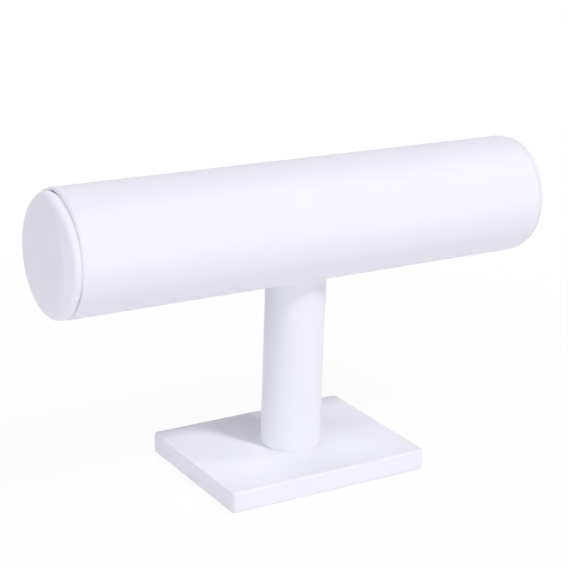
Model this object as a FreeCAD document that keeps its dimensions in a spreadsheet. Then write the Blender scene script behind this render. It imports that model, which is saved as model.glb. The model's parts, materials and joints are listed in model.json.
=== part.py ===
import FreeCAD
import Part
import Sketcher

import math
import os

# A countertop bracelet display stand: one thick horizontal bar on a round post
# with a rectangular base, all of it wrapped in white leatherette.
# X runs along the bar, Y from front to back, Z up. The origin is on the post's
# axis, under the base, so the stand rests on Z = 0. All sizes are millimetres.

doc = FreeCAD.newDocument("bracelet_stand")

# Driving dimensions: name, size, meaning.
SIZES = (
    ("tube_length", 241.1, "bar's paper tube, end to end"),
    ("tube_bore", 50.8, "inside diameter of the bar's paper tube"),
    ("tube_wall", 2.4, "wall of the bar's paper tube"),
    ("skin", 0.7, "thickness of the leatherette"),
    ("fold_radius", 1.0, "outside rounding where leatherette folds over a tube's end"),
    ("tube_turn_in", 12.0, "leatherette turned into each end of the bar's tube"),
    ("tube_notches", 16, "V notches in each turned-in edge of the bar's cover"),
    ("notch_width", 3.2, "width of a V notch at the free edge"),
    ("notch_root", 2.5, "leatherette left uncut between a notch and the fold"),
    ("lap_angle", 52.0, "degrees from the bar's lowest line back to its glued lap"),
    ("lap_width", 8.0, "overlap of the leatherette along the bar"),
    ("lap_step", 0.5, "height of a pressed overlap above the rest of the cover"),
    ("lap_ramp", 2.5, "length over which the overlap rises from the cover"),
    ("left_cap_setback", 1.6, "how much smaller the left cap is than the bar, in radius"),
    ("left_cap_drop", 0.85, "how far below the bar's axis the left cap was glued"),
    ("left_cap_front", 0.55, "how far in front of the bar's axis the left cap was glued"),
    ("right_cap_setback", 1.1, "how much smaller the right cap is than the bar, in radius"),
    ("right_cap_drop", 0.2, "how far below the bar's axis the right cap was glued"),
    ("right_cap_back", 1.15, "how far behind the bar's axis the right cap was glued"),
    ("cap_board", 1.5, "thickness of an end cap's greyboard disc"),
    ("cap_foam", 3.0, "foam over the greyboard in the middle of the cap's face"),
    ("cap_fall", 1.8, "how far the padded face falls from its flat middle to its rounded edge"),
    ("cap_shoulder", 10.2, "how far in from its rounded edge the padded face starts to fall"),
    ("cap_edge", 1.3, "outside rounding of the padded face's edge"),
    ("cap_back", 0.6, "outside rounding at the cap's back edge"),
    ("cap_wrap", 0.8, "foam round the edge of the greyboard disc"),
    ("cap_turn_in", 9.0, "leatherette turned onto the cap's back"),
    ("cap_notches", 18, "V notches in the leatherette turned onto the cap's back"),
    ("post_height", 81.6, "base's top to the lowest line of the bar"),
    ("post_bore", 23.1, "inside diameter of the post's paper tube"),
    ("post_wall", 2.0, "wall of the post's paper tube"),
    ("post_lap_width", 7.0, "overlap of the leatherette up the back of the post"),
    ("plug_length", 25.0, "wooden plug in each end of the post, on its centre line"),
    ("board_width", 104.0, "base board along X"),
    ("board_depth", 76.7, "base board along Y"),
    ("board_thickness", 9.0, "thickness of the base board"),
    ("board_corner", 1.4, "rounding of the base board's upright corners"),
    ("base_shift", 1.1, "how far left of the post's axis the base's middle was screwed on"),
    ("base_edge", 0.9, "outside rounding where leatherette folds over the base's edges"),
    ("turn_under", 14.0, "leatherette turned under the base, from its outside"),
    ("corner_slit", 0.3, "gap between the cut edges that meet at a base corner"),
    ("slit_stop", 1.6, "uncut leatherette above a corner's slit"),
    ("lining", 0.3, "thickness of the lining under the base"),
    ("lining_margin", 3.0, "base's outside to the lining's edge"),
    ("lining_corner", 3.0, "rounding of the lining's corners"),
    ("block_length", 40.0, "wooden seat block in the bar, along X"),
    ("block_width", 22.0, "wooden seat block in the bar, along Y"),
    ("block_rise", 6.0, "seat block's flat top above the tube's lowest inside line"),
    ("screw_shank", 3.5, "diameter of a wood screw's shank"),
    ("screw_length", 30.0, "length of a wood screw that goes into the joint"),
    ("screw_tip", 6.0, "length of a wood screw's point"),
    ("screw_head", 7.0, "diameter of a wood screw's head"),
    ("pan_height", 2.4, "height of a pan head"),
    ("screw_spacing", 13.0, "distance between the two screws of a joint"),
    ("recess_span", 4.0, "length of each bar of a screw head's cross recess"),
    ("recess_width", 1.0, "width of each bar of a screw head's cross recess"),
    ("recess_depth", 1.3, "depth of a screw head's cross recess"),
    ("hole_gap", 0.2, "room round a shank in a clearance hole"),
    ("pilot_gap", 0.05, "room round a shank in a plug's pilot hole"),
)

sheet = doc.addObject("Spreadsheet::Sheet", "Sizes")
for row, (alias, size, meaning) in enumerate(SIZES, start=1):
    sheet.set(f"A{row}", alias)
    sheet.set(f"B{row}", str(size))
    sheet.set(f"C{row}", meaning)
    sheet.setAlias(f"B{row}", alias)
doc.recompute()

# Sizes that follow from the driving dimensions, as expressions.
TUBE_INSIDE = "(Sizes.tube_bore / 2)"
TUBE_OUTSIDE = f"({TUBE_INSIDE} + Sizes.tube_wall)"
BAR_RADIUS = f"({TUBE_OUTSIDE} + Sizes.skin)"
TUBE_END = "(Sizes.tube_length / 2)"
CAP_PLANE = f"({TUBE_END} + Sizes.skin)"
CAP_DEPTH = "(Sizes.cap_board + Sizes.cap_foam + 2 * Sizes.skin)"
SHOULDER_RADIUS = "((Sizes.cap_shoulder^2 + Sizes.cap_fall^2) / (2 * Sizes.cap_fall))"
SHOULDER_OUT = f"(Sizes.cap_shoulder / {SHOULDER_RADIUS})"
SHOULDER_ALONG = f"(1 - Sizes.cap_fall / {SHOULDER_RADIUS})"
POST_INSIDE = "(Sizes.post_bore / 2)"
POST_OUTSIDE = f"({POST_INSIDE} + Sizes.post_wall)"
POST_RADIUS = f"({POST_OUTSIDE} + Sizes.skin)"
BASE_WIDTH = "(Sizes.board_width + 2 * Sizes.skin)"
BASE_DEPTH = "(Sizes.board_depth + 2 * Sizes.skin)"
BOARD_BOTTOM = "(Sizes.lining + Sizes.skin)"
BASE_TOP = f"({BOARD_BOTTOM} + Sizes.board_thickness + Sizes.skin)"
AXIS_HEIGHT = f"({BASE_TOP} + Sizes.post_height + {BAR_RADIUS})"
SHANK_RADIUS = "(Sizes.screw_shank / 2)"
CLEARANCE_RADIUS = f"({SHANK_RADIUS} + Sizes.hole_gap)"
PILOT_RADIUS = f"({SHANK_RADIUS} + Sizes.pilot_gap)"
HEAD_RADIUS = "(Sizes.screw_head / 2)"
COUNTERSINK = f"({HEAD_RADIUS} - {SHANK_RADIUS})"
WINDOW_WIDTH = f"({BASE_WIDTH} - 2 * Sizes.turn_under)"
WINDOW_DEPTH = f"({BASE_DEPTH} - 2 * Sizes.turn_under)"

FULL_TURN = 360


def number(expression):
    """The present value of an expression over the sheet."""
    return float(sheet.evalExpression(expression))


def new_body(label):
    """An empty body, with the label that names its file."""
    body = doc.addObject("PartDesign::Body", label)
    body.Label = label
    return body


def origin_feature(body, role):
    """One of a body's own origin planes or axes, found by its role."""
    return next(f for f in body.Origin.OriginFeatures if f.Role == role)


def new_sketch(body, role, name, offset=None):
    """A sketch on one of the body's origin planes, moved along the plane's normal by offset."""
    sketch = body.newObject("Sketcher::SketchObject", f"{body.Label}_{name}")
    sketch.AttachmentSupport = [(origin_feature(body, role), "")]
    sketch.MapMode = "FlatFace"
    if offset is not None:
        sketch.setExpression("AttachmentOffset.Base.z", offset)
    return sketch


def pin(sketch, geometry, end, across, up):
    """Ties a point of the sketch to two expressions, measured from the sketch's origin."""
    for kind, axis, expression in (("DistanceX", -2, across), ("DistanceY", -1, up)):
        if expression == "0":
            sketch.addConstraint(Sketcher.Constraint("PointOnObject", geometry, end, axis))
            continue
        constraint = Sketcher.Constraint(kind, -1, 1, geometry, end, number(expression))
        index = sketch.addConstraint(constraint)
        name = f"{kind[-1].lower()}_{geometry}_{end}"
        sketch.renameConstraint(index, name)
        sketch.setExpression(f"Constraints.{name}", expression)


def outline(sketch, corners):
    """Draws a closed outline through the corners.

    A corner is (across, up), or (across, up, (centre across, centre up)) where an
    arc about that centre leads on to the next corner. All are expressions.
    """
    spots = [FreeCAD.Vector(number(c[0]), number(c[1]), 0) for c in corners]
    pieces = []
    for index, corner in enumerate(corners):
        here = spots[index]
        there = spots[(index + 1) % len(corners)]
        if len(corner) == 2:
            pieces.append((sketch.addGeometry(Part.LineSegment(here, there), False), 1, 2))
            continue
        centre = FreeCAD.Vector(number(corner[2][0]), number(corner[2][1]), 0)
        start = math.atan2(here.y - centre.y, here.x - centre.x)
        stop = math.atan2(there.y - centre.y, there.x - centre.x)
        turn = (stop - start + math.pi) % (2 * math.pi) - math.pi
        radius = (here - centre).Length
        circle = Part.Circle(centre, FreeCAD.Vector(0, 0, 1), radius)
        angles = (start, start + turn) if turn > 0 else (start + turn, start)
        arc = sketch.addGeometry(Part.ArcOfCircle(circle, *angles), False)
        pieces.append((arc, 1, 2) if turn > 0 else (arc, 2, 1))
    for index, (piece, first, last) in enumerate(pieces):
        follower, its_first, _ = pieces[(index + 1) % len(pieces)]
        joint = Sketcher.Constraint("Coincident", piece, last, follower, its_first)
        sketch.addConstraint(joint)
        pin(sketch, piece, first, corners[index][0], corners[index][1])
    for index, corner in enumerate(corners):
        if len(corner) == 3:
            hold_centre(sketch, pieces[index][0], spots, index, corner[2])


def hold_centre(sketch, arc, spots, index, centre):
    """Fixes an arc's centre, which its two pinned ends leave free along one line only."""
    chord = spots[(index + 1) % len(spots)] - spots[index]
    flat = abs(chord.x) > abs(chord.y)
    kind, expression = ("DistanceY", centre[1]) if flat else ("DistanceX", centre[0])
    if expression == "0":
        axis = -1 if flat else -2
        sketch.addConstraint(Sketcher.Constraint("PointOnObject", arc, 3, axis))
        return
    constraint = Sketcher.Constraint(kind, -1, 1, arc, 3, number(expression))
    name = f"centre_{arc}"
    sketch.renameConstraint(sketch.addConstraint(constraint), name)
    sketch.setExpression(f"Constraints.{name}", expression)


def circle(sketch, radius, across="0", up="0"):
    """Draws a circle of that radius about a point of the sketch."""
    centre = FreeCAD.Vector(number(across), number(up), 0)
    round_line = Part.Circle(centre, FreeCAD.Vector(0, 0, 1), number(radius))
    index = sketch.addGeometry(round_line, False)
    if across == "0" and up == "0":
        sketch.addConstraint(Sketcher.Constraint("Coincident", index, 3, -1, 1))
    else:
        pin(sketch, index, 3, across, up)
    constraint = Sketcher.Constraint("Radius", index, number(radius))
    name = f"radius_{index}"
    sketch.renameConstraint(sketch.addConstraint(constraint), name)
    sketch.setExpression(f"Constraints.{name}", radius)


def rounded_rectangle(sketch, width, depth, radius):
    """Draws a rectangle about the sketch's origin, with round corners."""
    right = f"({width} / 2)"
    back = f"({depth} / 2)"
    inner_right = f"({right} - {radius})"
    inner_back = f"({back} - {radius})"
    corners = []
    for x_sign, y_sign, upright_first in ((1, 1, True), (-1, 1, False), (-1, -1, True), (1, -1, False)):
        side = (f"{x_sign} * {right}", f"{y_sign} * {inner_back}")
        end = (f"{x_sign} * {inner_right}", f"{y_sign} * {back}")
        centre = (f"{x_sign} * {inner_right}", f"{y_sign} * {inner_back}")
        first, second = (side, end) if upright_first else (end, side)
        corners.append((first[0], first[1], centre))
        corners.append(second)
    outline(sketch, corners)


def pad(body, sketch, length, symmetric=False):
    """Adds the sketch's area over that length, to both sides where symmetric."""
    feature = body.newObject("PartDesign::Pad", f"{sketch.Label}_pad")
    feature.Profile = sketch
    feature.SideType = "Symmetric" if symmetric else "One side"
    feature.setExpression("Length", length)
    return feature


def pocket(body, sketch, length, along_normal=False, symmetric=False):
    """Cuts the sketch's area over that length, against the sketch's normal unless told."""
    feature = body.newObject("PartDesign::Pocket", f"{sketch.Label}_pocket")
    feature.Profile = sketch
    feature.SideType = "Symmetric" if symmetric else "One side"
    feature.Reversed = along_normal
    feature.setExpression("Length", length)
    return feature


def revolve(body, sketch, axis_role):
    """Turns the sketch's area once round one of the body's axes."""
    feature = body.newObject("PartDesign::Revolution", f"{sketch.Label}_turned")
    feature.Profile = sketch
    feature.ReferenceAxis = (origin_feature(body, axis_role), [""])
    feature.Angle = FULL_TURN
    return feature


def repeat_round(body, feature, axis_role, count):
    """Repeats a feature evenly round one of the body's axes."""
    pattern = body.newObject("PartDesign::PolarPattern", f"{feature.Label}_pattern")
    pattern.Originals = [feature]
    pattern.Axis = (origin_feature(body, axis_role), [""])
    pattern.Angle = FULL_TURN
    pattern.setExpression("Occurrences", count)
    body.Tip = pattern
    return pattern


def repeat_along_x(body, feature, length, count):
    """Repeats a feature along the body's X axis, the last copy at that length."""
    pattern = body.newObject("PartDesign::LinearPattern", f"{feature.Label}_pattern")
    pattern.Originals = [feature]
    pattern.Direction = (origin_feature(body, "X_Axis"), [""])
    pattern.setExpression("Length", length)
    pattern.Occurrences = count
    body.Tip = pattern
    return pattern


def face_names(feature, upward):
    """The flat faces that look straight up, or straight down, as sub-element names."""
    names = []
    for index, face in enumerate(feature.Shape.Faces, start=1):
        normal = face.normalAt(0, 0)
        if abs(abs(normal.z) - 1) < 1e-6 and (normal.z > 0) == upward:
            names.append(f"Face{index}")
    return names


def place(body, **where):
    """Moves a body by expressions for x, y and z."""
    for axis, expression in where.items():
        body.setExpression(f"Placement.Base.{axis}", expression)


def cut_joint_holes(body, role, name, radius, length, along_normal=False, offset=None, middle="0"):
    """Cuts the two holes of a screwed joint, side by side along X about that middle."""
    sketch = new_sketch(body, role, name, offset)
    for sign in (-1, 1):
        circle(sketch, radius, f"({middle} + {sign} * Sizes.screw_spacing / 2)", "0")
    return pocket(body, sketch, length, along_normal)


def make_bar_tube():
    """The bar's paper tube, with two screw holes in its lowest line."""
    body = new_body("bar_tube")
    ring = new_sketch(body, "YZ_Plane", "ring")
    circle(ring, TUBE_OUTSIDE)
    circle(ring, TUBE_INSIDE)
    pad(body, ring, "Sizes.tube_length", symmetric=True)
    cut_joint_holes(body, "XY_Plane", "screw_holes", CLEARANCE_RADIUS, BAR_RADIUS)
    place(body, z=AXIS_HEIGHT)
    return body


def make_bar_cover():
    """The bar's leatherette: one sleeve, folded over and into both ends of the tube."""
    body = new_body("bar_cover")
    section = new_sketch(body, "XZ_Plane", "section")
    fold_middle = f"({CAP_PLANE} - Sizes.fold_radius)"
    fold_height = f"({BAR_RADIUS} - Sizes.fold_radius)"
    lip = f"({TUBE_INSIDE} - Sizes.skin)"
    free_edge = f"({TUBE_END} - Sizes.tube_turn_in)"
    outline(
        section,
        [
            (f"-{fold_middle}", BAR_RADIUS),
            (fold_middle, BAR_RADIUS, (fold_middle, fold_height)),
            (CAP_PLANE, fold_height),
            (CAP_PLANE, lip),
            (free_edge, lip),
            (free_edge, TUBE_INSIDE),
            (TUBE_END, TUBE_INSIDE),
            (TUBE_END, TUBE_OUTSIDE),
            (f"-{TUBE_END}", TUBE_OUTSIDE),
            (f"-{TUBE_END}", TUBE_INSIDE),
            (f"-{free_edge}", TUBE_INSIDE),
            (f"-{free_edge}", lip),
            (f"-{CAP_PLANE}", lip),
            (f"-{CAP_PLANE}", fold_height, (f"-{fold_middle}", fold_height)),
        ],
    )
    revolve(body, section, "X_Axis")
    add_bar_lap(body)
    cut_joint_holes(body, "XY_Plane", "screw_holes", CLEARANCE_RADIUS, f"({BAR_RADIUS} + 1)")
    notch = new_sketch(body, "XY_Plane", "notches")
    root = f"({TUBE_END} - Sizes.notch_root)"
    for sign in ("", "-"):
        outline(
            notch,
            [
                (f"{sign}{root}", "0"),
                (f"{sign}{free_edge}", "Sizes.notch_width / 2"),
                (f"{sign}{free_edge}", "-Sizes.notch_width / 2"),
            ],
        )
    reach = f"({TUBE_INSIDE} + Sizes.tube_wall / 2)"
    cut = pocket(body, notch, reach, along_normal=True)
    repeat_round(body, cut, "X_Axis", "Sizes.tube_notches")
    place(body, z=AXIS_HEIGHT)
    return body


def add_bar_lap(body):
    """The glued lap of the sleeve's two long edges: a ramp, a flat and a cut edge."""
    lap = new_sketch(body, "YZ_Plane", "lap")
    rooted = f"({BAR_RADIUS} - Sizes.skin / 2)"
    raised = f"({BAR_RADIUS} + Sizes.lap_step)"
    degrees_per_mm = f"(180 / 3.14159265 / {BAR_RADIUS})"
    low = f"(Sizes.lap_angle - Sizes.lap_width / 2 * {degrees_per_mm})"
    high = f"(Sizes.lap_angle + Sizes.lap_width / 2 * {degrees_per_mm})"
    ramp_top = f"({high} - Sizes.lap_ramp * {degrees_per_mm})"

    def spot(radius, angle):
        return f"({radius} * sin({angle}))", f"(-{radius} * cos({angle}))"

    outline(
        lap,
        [
            spot(rooted, low),
            spot(raised, low) + (("0", "0"),),
            spot(raised, ramp_top),
            spot(BAR_RADIUS, high),
            spot(rooted, high) + (("0", "0"),),
        ],
    )
    straight = f"(2 * ({CAP_PLANE} - Sizes.fold_radius))"
    return pad(body, lap, straight, symmetric=True)


def make_bar_block():
    """The wooden block inside the bar that the joint's screw heads pull down on."""
    body = new_body("bar_block")
    section = new_sketch(body, "YZ_Plane", "section")
    half = "(Sizes.block_width / 2)"
    top = f"(Sizes.block_rise - {TUBE_INSIDE})"
    foot = f"(-sqrt({TUBE_INSIDE}^2 - {half}^2))"
    outline(
        section,
        [
            (half, foot, ("0", "0")),
            (f"-{half}", foot),
            (f"-{half}", top),
            (half, top),
        ],
    )
    pad(body, section, "Sizes.block_length", symmetric=True)
    cut_joint_holes(body, "XY_Plane", "screw_holes", CLEARANCE_RADIUS, BAR_RADIUS)
    place(body, z=AXIS_HEIGHT)
    return body


def cut_recess(body, top):
    """Cuts the cross recess in a screw's head, from the plane at that height down."""
    long_arm = "(Sizes.recess_span / 2)"
    short_arm = "(Sizes.recess_width / 2)"
    cross = new_sketch(body, "XY_Plane", "recess", top)
    corners = []
    for x_sign, y_sign in ((1, 1), (-1, 1), (-1, -1), (1, -1)):
        arm_end = (f"{x_sign} * {long_arm}", f"{y_sign} * {short_arm}")
        inside = (f"{x_sign} * {short_arm}", f"{y_sign} * {short_arm}")
        other_end = (f"{x_sign} * {short_arm}", f"{y_sign} * {long_arm}")
        run = [arm_end, inside, other_end]
        corners += run if x_sign * y_sign > 0 else run[::-1]
    outline(cross, corners)
    return pocket(body, cross, "Sizes.recess_depth")


def make_bar_screws():
    """Two pan-head wood screws, from the seat block down into the post's top plug."""
    body = new_body("bar_screws")
    body.AllowCompound = True
    section = new_sketch(body, "XZ_Plane", "section")
    shoulder = "(Sizes.pan_height / 2)"
    outline(
        section,
        [
            ("0", "Sizes.pan_height"),
            ("0", "-Sizes.screw_length"),
            (SHANK_RADIUS, "(Sizes.screw_tip - Sizes.screw_length)"),
            (SHANK_RADIUS, "0"),
            (HEAD_RADIUS, "0"),
            (HEAD_RADIUS, shoulder, (f"({HEAD_RADIUS} - {shoulder})", shoulder)),
            (f"({HEAD_RADIUS} - {shoulder})", "Sizes.pan_height"),
        ],
    )
    turned = revolve(body, section, "Z_Axis")
    recess = cut_recess(body, "Sizes.pan_height")
    pair_screws(body, turned, recess)
    seat = f"({AXIS_HEIGHT} - {TUBE_INSIDE} + Sizes.block_rise)"
    place(body, x="-Sizes.screw_spacing / 2", z=seat)
    return body


def pair_screws(body, turned, recess):
    """Repeats a finished screw once, at the joint's spacing."""
    pattern = repeat_along_x(body, turned, "Sizes.screw_spacing", 2)
    pattern.Originals = [turned, recess]
    return pattern


def make_base_screws():
    """Two countersunk wood screws, from under the base board up into the post."""
    body = new_body("base_screws")
    body.AllowCompound = True
    section = new_sketch(body, "XZ_Plane", "section")
    outline(
        section,
        [
            ("0", "0"),
            ("0", "-Sizes.screw_length"),
            (SHANK_RADIUS, "(Sizes.screw_tip - Sizes.screw_length)"),
            (SHANK_RADIUS, f"-{COUNTERSINK}"),
            (HEAD_RADIUS, "0"),
        ],
    )
    turned = revolve(body, section, "Z_Axis")
    recess = cut_recess(body, "0")
    pair_screws(body, turned, recess)
    body.Placement.Rotation = FreeCAD.Rotation(FreeCAD.Vector(1, 0, 0), 180)
    place(body, x="-Sizes.screw_spacing / 2", z=BOARD_BOTTOM)
    return body


def place_cap(body, side):
    """Puts a cap's piece, modelled with its face towards +X, on one end of the bar."""
    if side == "left":
        body.Placement.Rotation = FreeCAD.Rotation(FreeCAD.Vector(0, 0, 1), 180)
        place(
            body,
            x=f"-{CAP_PLANE}",
            y="-Sizes.left_cap_front",
            z=f"({AXIS_HEIGHT} - Sizes.left_cap_drop)",
        )
    else:
        place(
            body,
            x=CAP_PLANE,
            y="Sizes.right_cap_back",
            z=f"({AXIS_HEIGHT} - Sizes.right_cap_drop)",
        )


def cap_radius(side):
    """The radius of a cap."""
    return f"({BAR_RADIUS} - Sizes.{side}_cap_setback)"


class CapSection:
    """The padded edge and shoulder of one cap, as expressions.

    A tight rounding leads from the cap's side into the shoulder, whose arc runs out level
    into the flat middle of the face.
    """

    def __init__(self, side):
        self.radius = cap_radius(side)
        self.shoulder_foot = f"({CAP_DEPTH} - {SHOULDER_RADIUS})"
        reach = f"({SHOULDER_RADIUS} - Sizes.cap_edge)"
        self.bend = f"({self.shoulder_foot} + {reach} * {SHOULDER_ALONG})"
        self.bend_height = f"({self.radius} - Sizes.cap_edge)"
        self.flat_height = f"({self.bend_height} - {reach} * {SHOULDER_OUT})"

    def corners(self, depth):
        """The corners from the side to the middle of the face, so far under the outside.

        Args:
            depth: An expression for the distance under the cap's outside.

        Returns:
            The corners for outline(), the first of them with the rounding that follows it.
        """
        rounding = f"(Sizes.cap_edge - {depth})"
        shoulder = f"({SHOULDER_RADIUS} - {depth})"
        bend_centre = (self.bend, self.bend_height)
        shoulder_centre = (self.shoulder_foot, self.flat_height)
        side_end = (self.bend, f"({self.bend_height} + {rounding})")
        edge_end = (
            f"({self.shoulder_foot} + {shoulder} * {SHOULDER_ALONG})",
            f"({self.flat_height} + {shoulder} * {SHOULDER_OUT})",
        )
        face = f"({CAP_DEPTH} - {depth})"
        return [
            (*side_end, bend_centre),
            (*edge_end, shoulder_centre),
            (face, self.flat_height),
            (face, "0"),
        ]

    def corners_back(self, depth):
        """The same corners from the middle of the face back to the side."""
        side_end, edge_end, flat, middle = self.corners(depth)
        return [
            middle,
            (*flat, edge_end[2]),
            (*edge_end[:2], side_end[2]),
            side_end[:2],
        ]


def make_cap_board(side):
    """The greyboard disc that stiffens an end cap."""
    body = new_body(f"{side}_cap_board")
    disc = new_sketch(body, "YZ_Plane", "disc", "Sizes.skin")
    circle(disc, f"({cap_radius(side)} - Sizes.skin - Sizes.cap_wrap)")
    pad(body, disc, "Sizes.cap_board")
    place_cap(body, side)
    return body


def make_cap_pad(side):
    """The foam over the greyboard disc and round its edge, under the cover."""
    body = new_body(f"{side}_cap_pad")
    section = new_sketch(body, "XZ_Plane", "section")
    shape = CapSection(side)
    board_rim = f"({cap_radius(side)} - Sizes.skin - Sizes.cap_wrap)"
    board_front = "(Sizes.skin + Sizes.cap_board)"
    outline(
        section,
        [
            ("Sizes.skin", board_rim),
            ("Sizes.skin", f"({cap_radius(side)} - Sizes.skin)"),
            *shape.corners("Sizes.skin"),
            (board_front, "0"),
            (board_front, board_rim),
        ],
    )
    revolve(body, section, "X_Axis")
    place_cap(body, side)
    return body


def make_cap_cover(side):
    """The leatherette of an end cap: over the foam, round the edge and onto the back."""
    body = new_body(f"{side}_cap_cover")
    section = new_sketch(body, "XZ_Plane", "section")
    shape = CapSection(side)
    flange = f"({cap_radius(side)} - Sizes.cap_turn_in)"
    back_height = f"({cap_radius(side)} - Sizes.cap_back)"
    outline(
        section,
        [
            ("0", flange),
            ("0", back_height, ("Sizes.cap_back", back_height)),
            ("Sizes.cap_back", cap_radius(side)),
            *shape.corners("0"),
            *shape.corners_back("Sizes.skin"),
            ("Sizes.skin", f"({cap_radius(side)} - Sizes.skin)"),
            ("Sizes.skin", flange),
        ],
    )
    revolve(body, section, "X_Axis")
    notch = new_sketch(body, "YZ_Plane", "notches")
    outline(
        notch,
        [
            ("0", f"({cap_radius(side)} - Sizes.notch_root)"),
            ("-Sizes.notch_width / 2", flange),
            ("0", f"({flange} - Sizes.skin)"),
            ("Sizes.notch_width / 2", flange),
        ],
    )
    cut = pocket(body, notch, "Sizes.skin", along_normal=True)
    repeat_round(body, cut, "X_Axis", "Sizes.cap_notches")
    place_cap(body, side)
    return body


def cut_saddle(body, foot):
    """Cuts the top of a post piece to the round of the bar that lies on it."""
    saddle = new_sketch(body, "YZ_Plane", "saddle")
    circle(saddle, BAR_RADIUS, "0", f"({AXIS_HEIGHT} - {foot})")
    return pocket(body, saddle, f"(4 * {POST_RADIUS})", symmetric=True)


def make_post_tube():
    """The post's paper tube, its top cut to the round of the bar."""
    body = new_body("post_tube")
    foot = f"({BASE_TOP} + Sizes.skin)"
    ring = new_sketch(body, "XY_Plane", "ring")
    circle(ring, POST_OUTSIDE)
    circle(ring, POST_INSIDE)
    pad(body, ring, f"({AXIS_HEIGHT} - {foot})")
    cut_saddle(body, foot)
    place(body, z=foot)
    return body


def make_post_cover():
    """The post's leatherette: folded under the tube's foot and lapped up the back."""
    body = new_body("post_cover")
    height = f"({AXIS_HEIGHT} - {BASE_TOP})"
    fold_height = "Sizes.fold_radius"
    section = new_sketch(body, "XZ_Plane", "section")
    outline(
        section,
        [
            (POST_INSIDE, "0"),
            (f"({POST_RADIUS} - Sizes.fold_radius)", "0",
             (f"({POST_RADIUS} - Sizes.fold_radius)", fold_height)),
            (POST_RADIUS, fold_height),
            (POST_RADIUS, height),
            (POST_OUTSIDE, height),
            (POST_OUTSIDE, "Sizes.skin"),
            (POST_INSIDE, "Sizes.skin"),
        ],
    )
    revolve(body, section, "Z_Axis")
    add_post_lap(body, height)
    cut_saddle(body, BASE_TOP)
    place(body, z=BASE_TOP)
    return body


def add_post_lap(body, height):
    """The glued lap of the wrap's two upright edges, at the back of the post."""
    lap = new_sketch(body, "XY_Plane", "lap", "Sizes.fold_radius")
    rooted = f"({POST_RADIUS} - Sizes.skin / 2)"
    raised = f"({POST_RADIUS} + Sizes.lap_step)"
    degrees_per_mm = f"(180 / 3.14159265 / {POST_RADIUS})"
    half = f"(Sizes.post_lap_width / 2 * {degrees_per_mm})"
    ramp_top = f"({half} - Sizes.lap_ramp * {degrees_per_mm})"

    def spot(radius, angle):
        return f"({radius} * sin({angle}))", f"({radius} * cos({angle}))"

    outline(
        lap,
        [
            spot(rooted, f"(-{half})"),
            spot(raised, f"(-{half})") + (("0", "0"),),
            spot(raised, ramp_top),
            spot(POST_RADIUS, half),
            spot(rooted, half) + (("0", "0"),),
        ],
    )
    return pad(body, lap, f"({height} - Sizes.fold_radius)")


def make_post_top_plug():
    """The wooden plug in the post's top, its end cut to the round of the bar."""
    body = new_body("post_top_plug")
    foot = f"({BASE_TOP} + Sizes.post_height - Sizes.plug_length)"
    disc = new_sketch(body, "XY_Plane", "disc")
    circle(disc, POST_INSIDE)
    pad(body, disc, f"(Sizes.plug_length + {BAR_RADIUS})")
    cut_saddle(body, foot)
    tip = f"({AXIS_HEIGHT} - {TUBE_INSIDE} + Sizes.block_rise - Sizes.screw_length - {foot})"
    cut_joint_holes(
        body, "XY_Plane", "pilot_holes", PILOT_RADIUS, BAR_RADIUS, along_normal=True, offset=tip
    )
    place(body, z=foot)
    return body


def make_post_bottom_plug():
    """The wooden plug in the post's foot, which the base's screws go into."""
    body = new_body("post_bottom_plug")
    disc = new_sketch(body, "XY_Plane", "disc")
    circle(disc, POST_INSIDE)
    pad(body, disc, "Sizes.plug_length")
    depth = f"({BOARD_BOTTOM} + Sizes.screw_length - {BASE_TOP})"
    cut_joint_holes(body, "XY_Plane", "pilot_holes", PILOT_RADIUS, depth, along_normal=True)
    place(body, z=BASE_TOP)
    return body


def make_base_board():
    """The base's fibreboard, with two countersunk holes from below."""
    body = new_body("base_board")
    plan = new_sketch(body, "XY_Plane", "plan")
    rounded_rectangle(plan, "Sizes.board_width", "Sizes.board_depth", "Sizes.board_corner")
    pad(body, plan, "Sizes.board_thickness")
    sinks = new_sketch(body, "XZ_Plane", "countersink")
    left = "(Sizes.base_shift - Sizes.screw_spacing / 2)"
    outline(
        sinks,
        [
            (left, "0"),
            (left, "Sizes.board_thickness"),
            (f"({left} + {CLEARANCE_RADIUS})", "Sizes.board_thickness"),
            (f"({left} + {CLEARANCE_RADIUS})", f"({HEAD_RADIUS} - {CLEARANCE_RADIUS})"),
            (f"({left} + {HEAD_RADIUS})", "0"),
        ],
    )
    groove = body.newObject("PartDesign::Groove", "base_board_countersunk_hole")
    groove.Profile = sinks
    groove.ReferenceAxis = (sinks, ["Edge1"])
    groove.Angle = FULL_TURN
    repeat_along_x(body, groove, "Sizes.screw_spacing", 2)
    place(body, x="-Sizes.base_shift", z=BOARD_BOTTOM)
    return body


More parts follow.
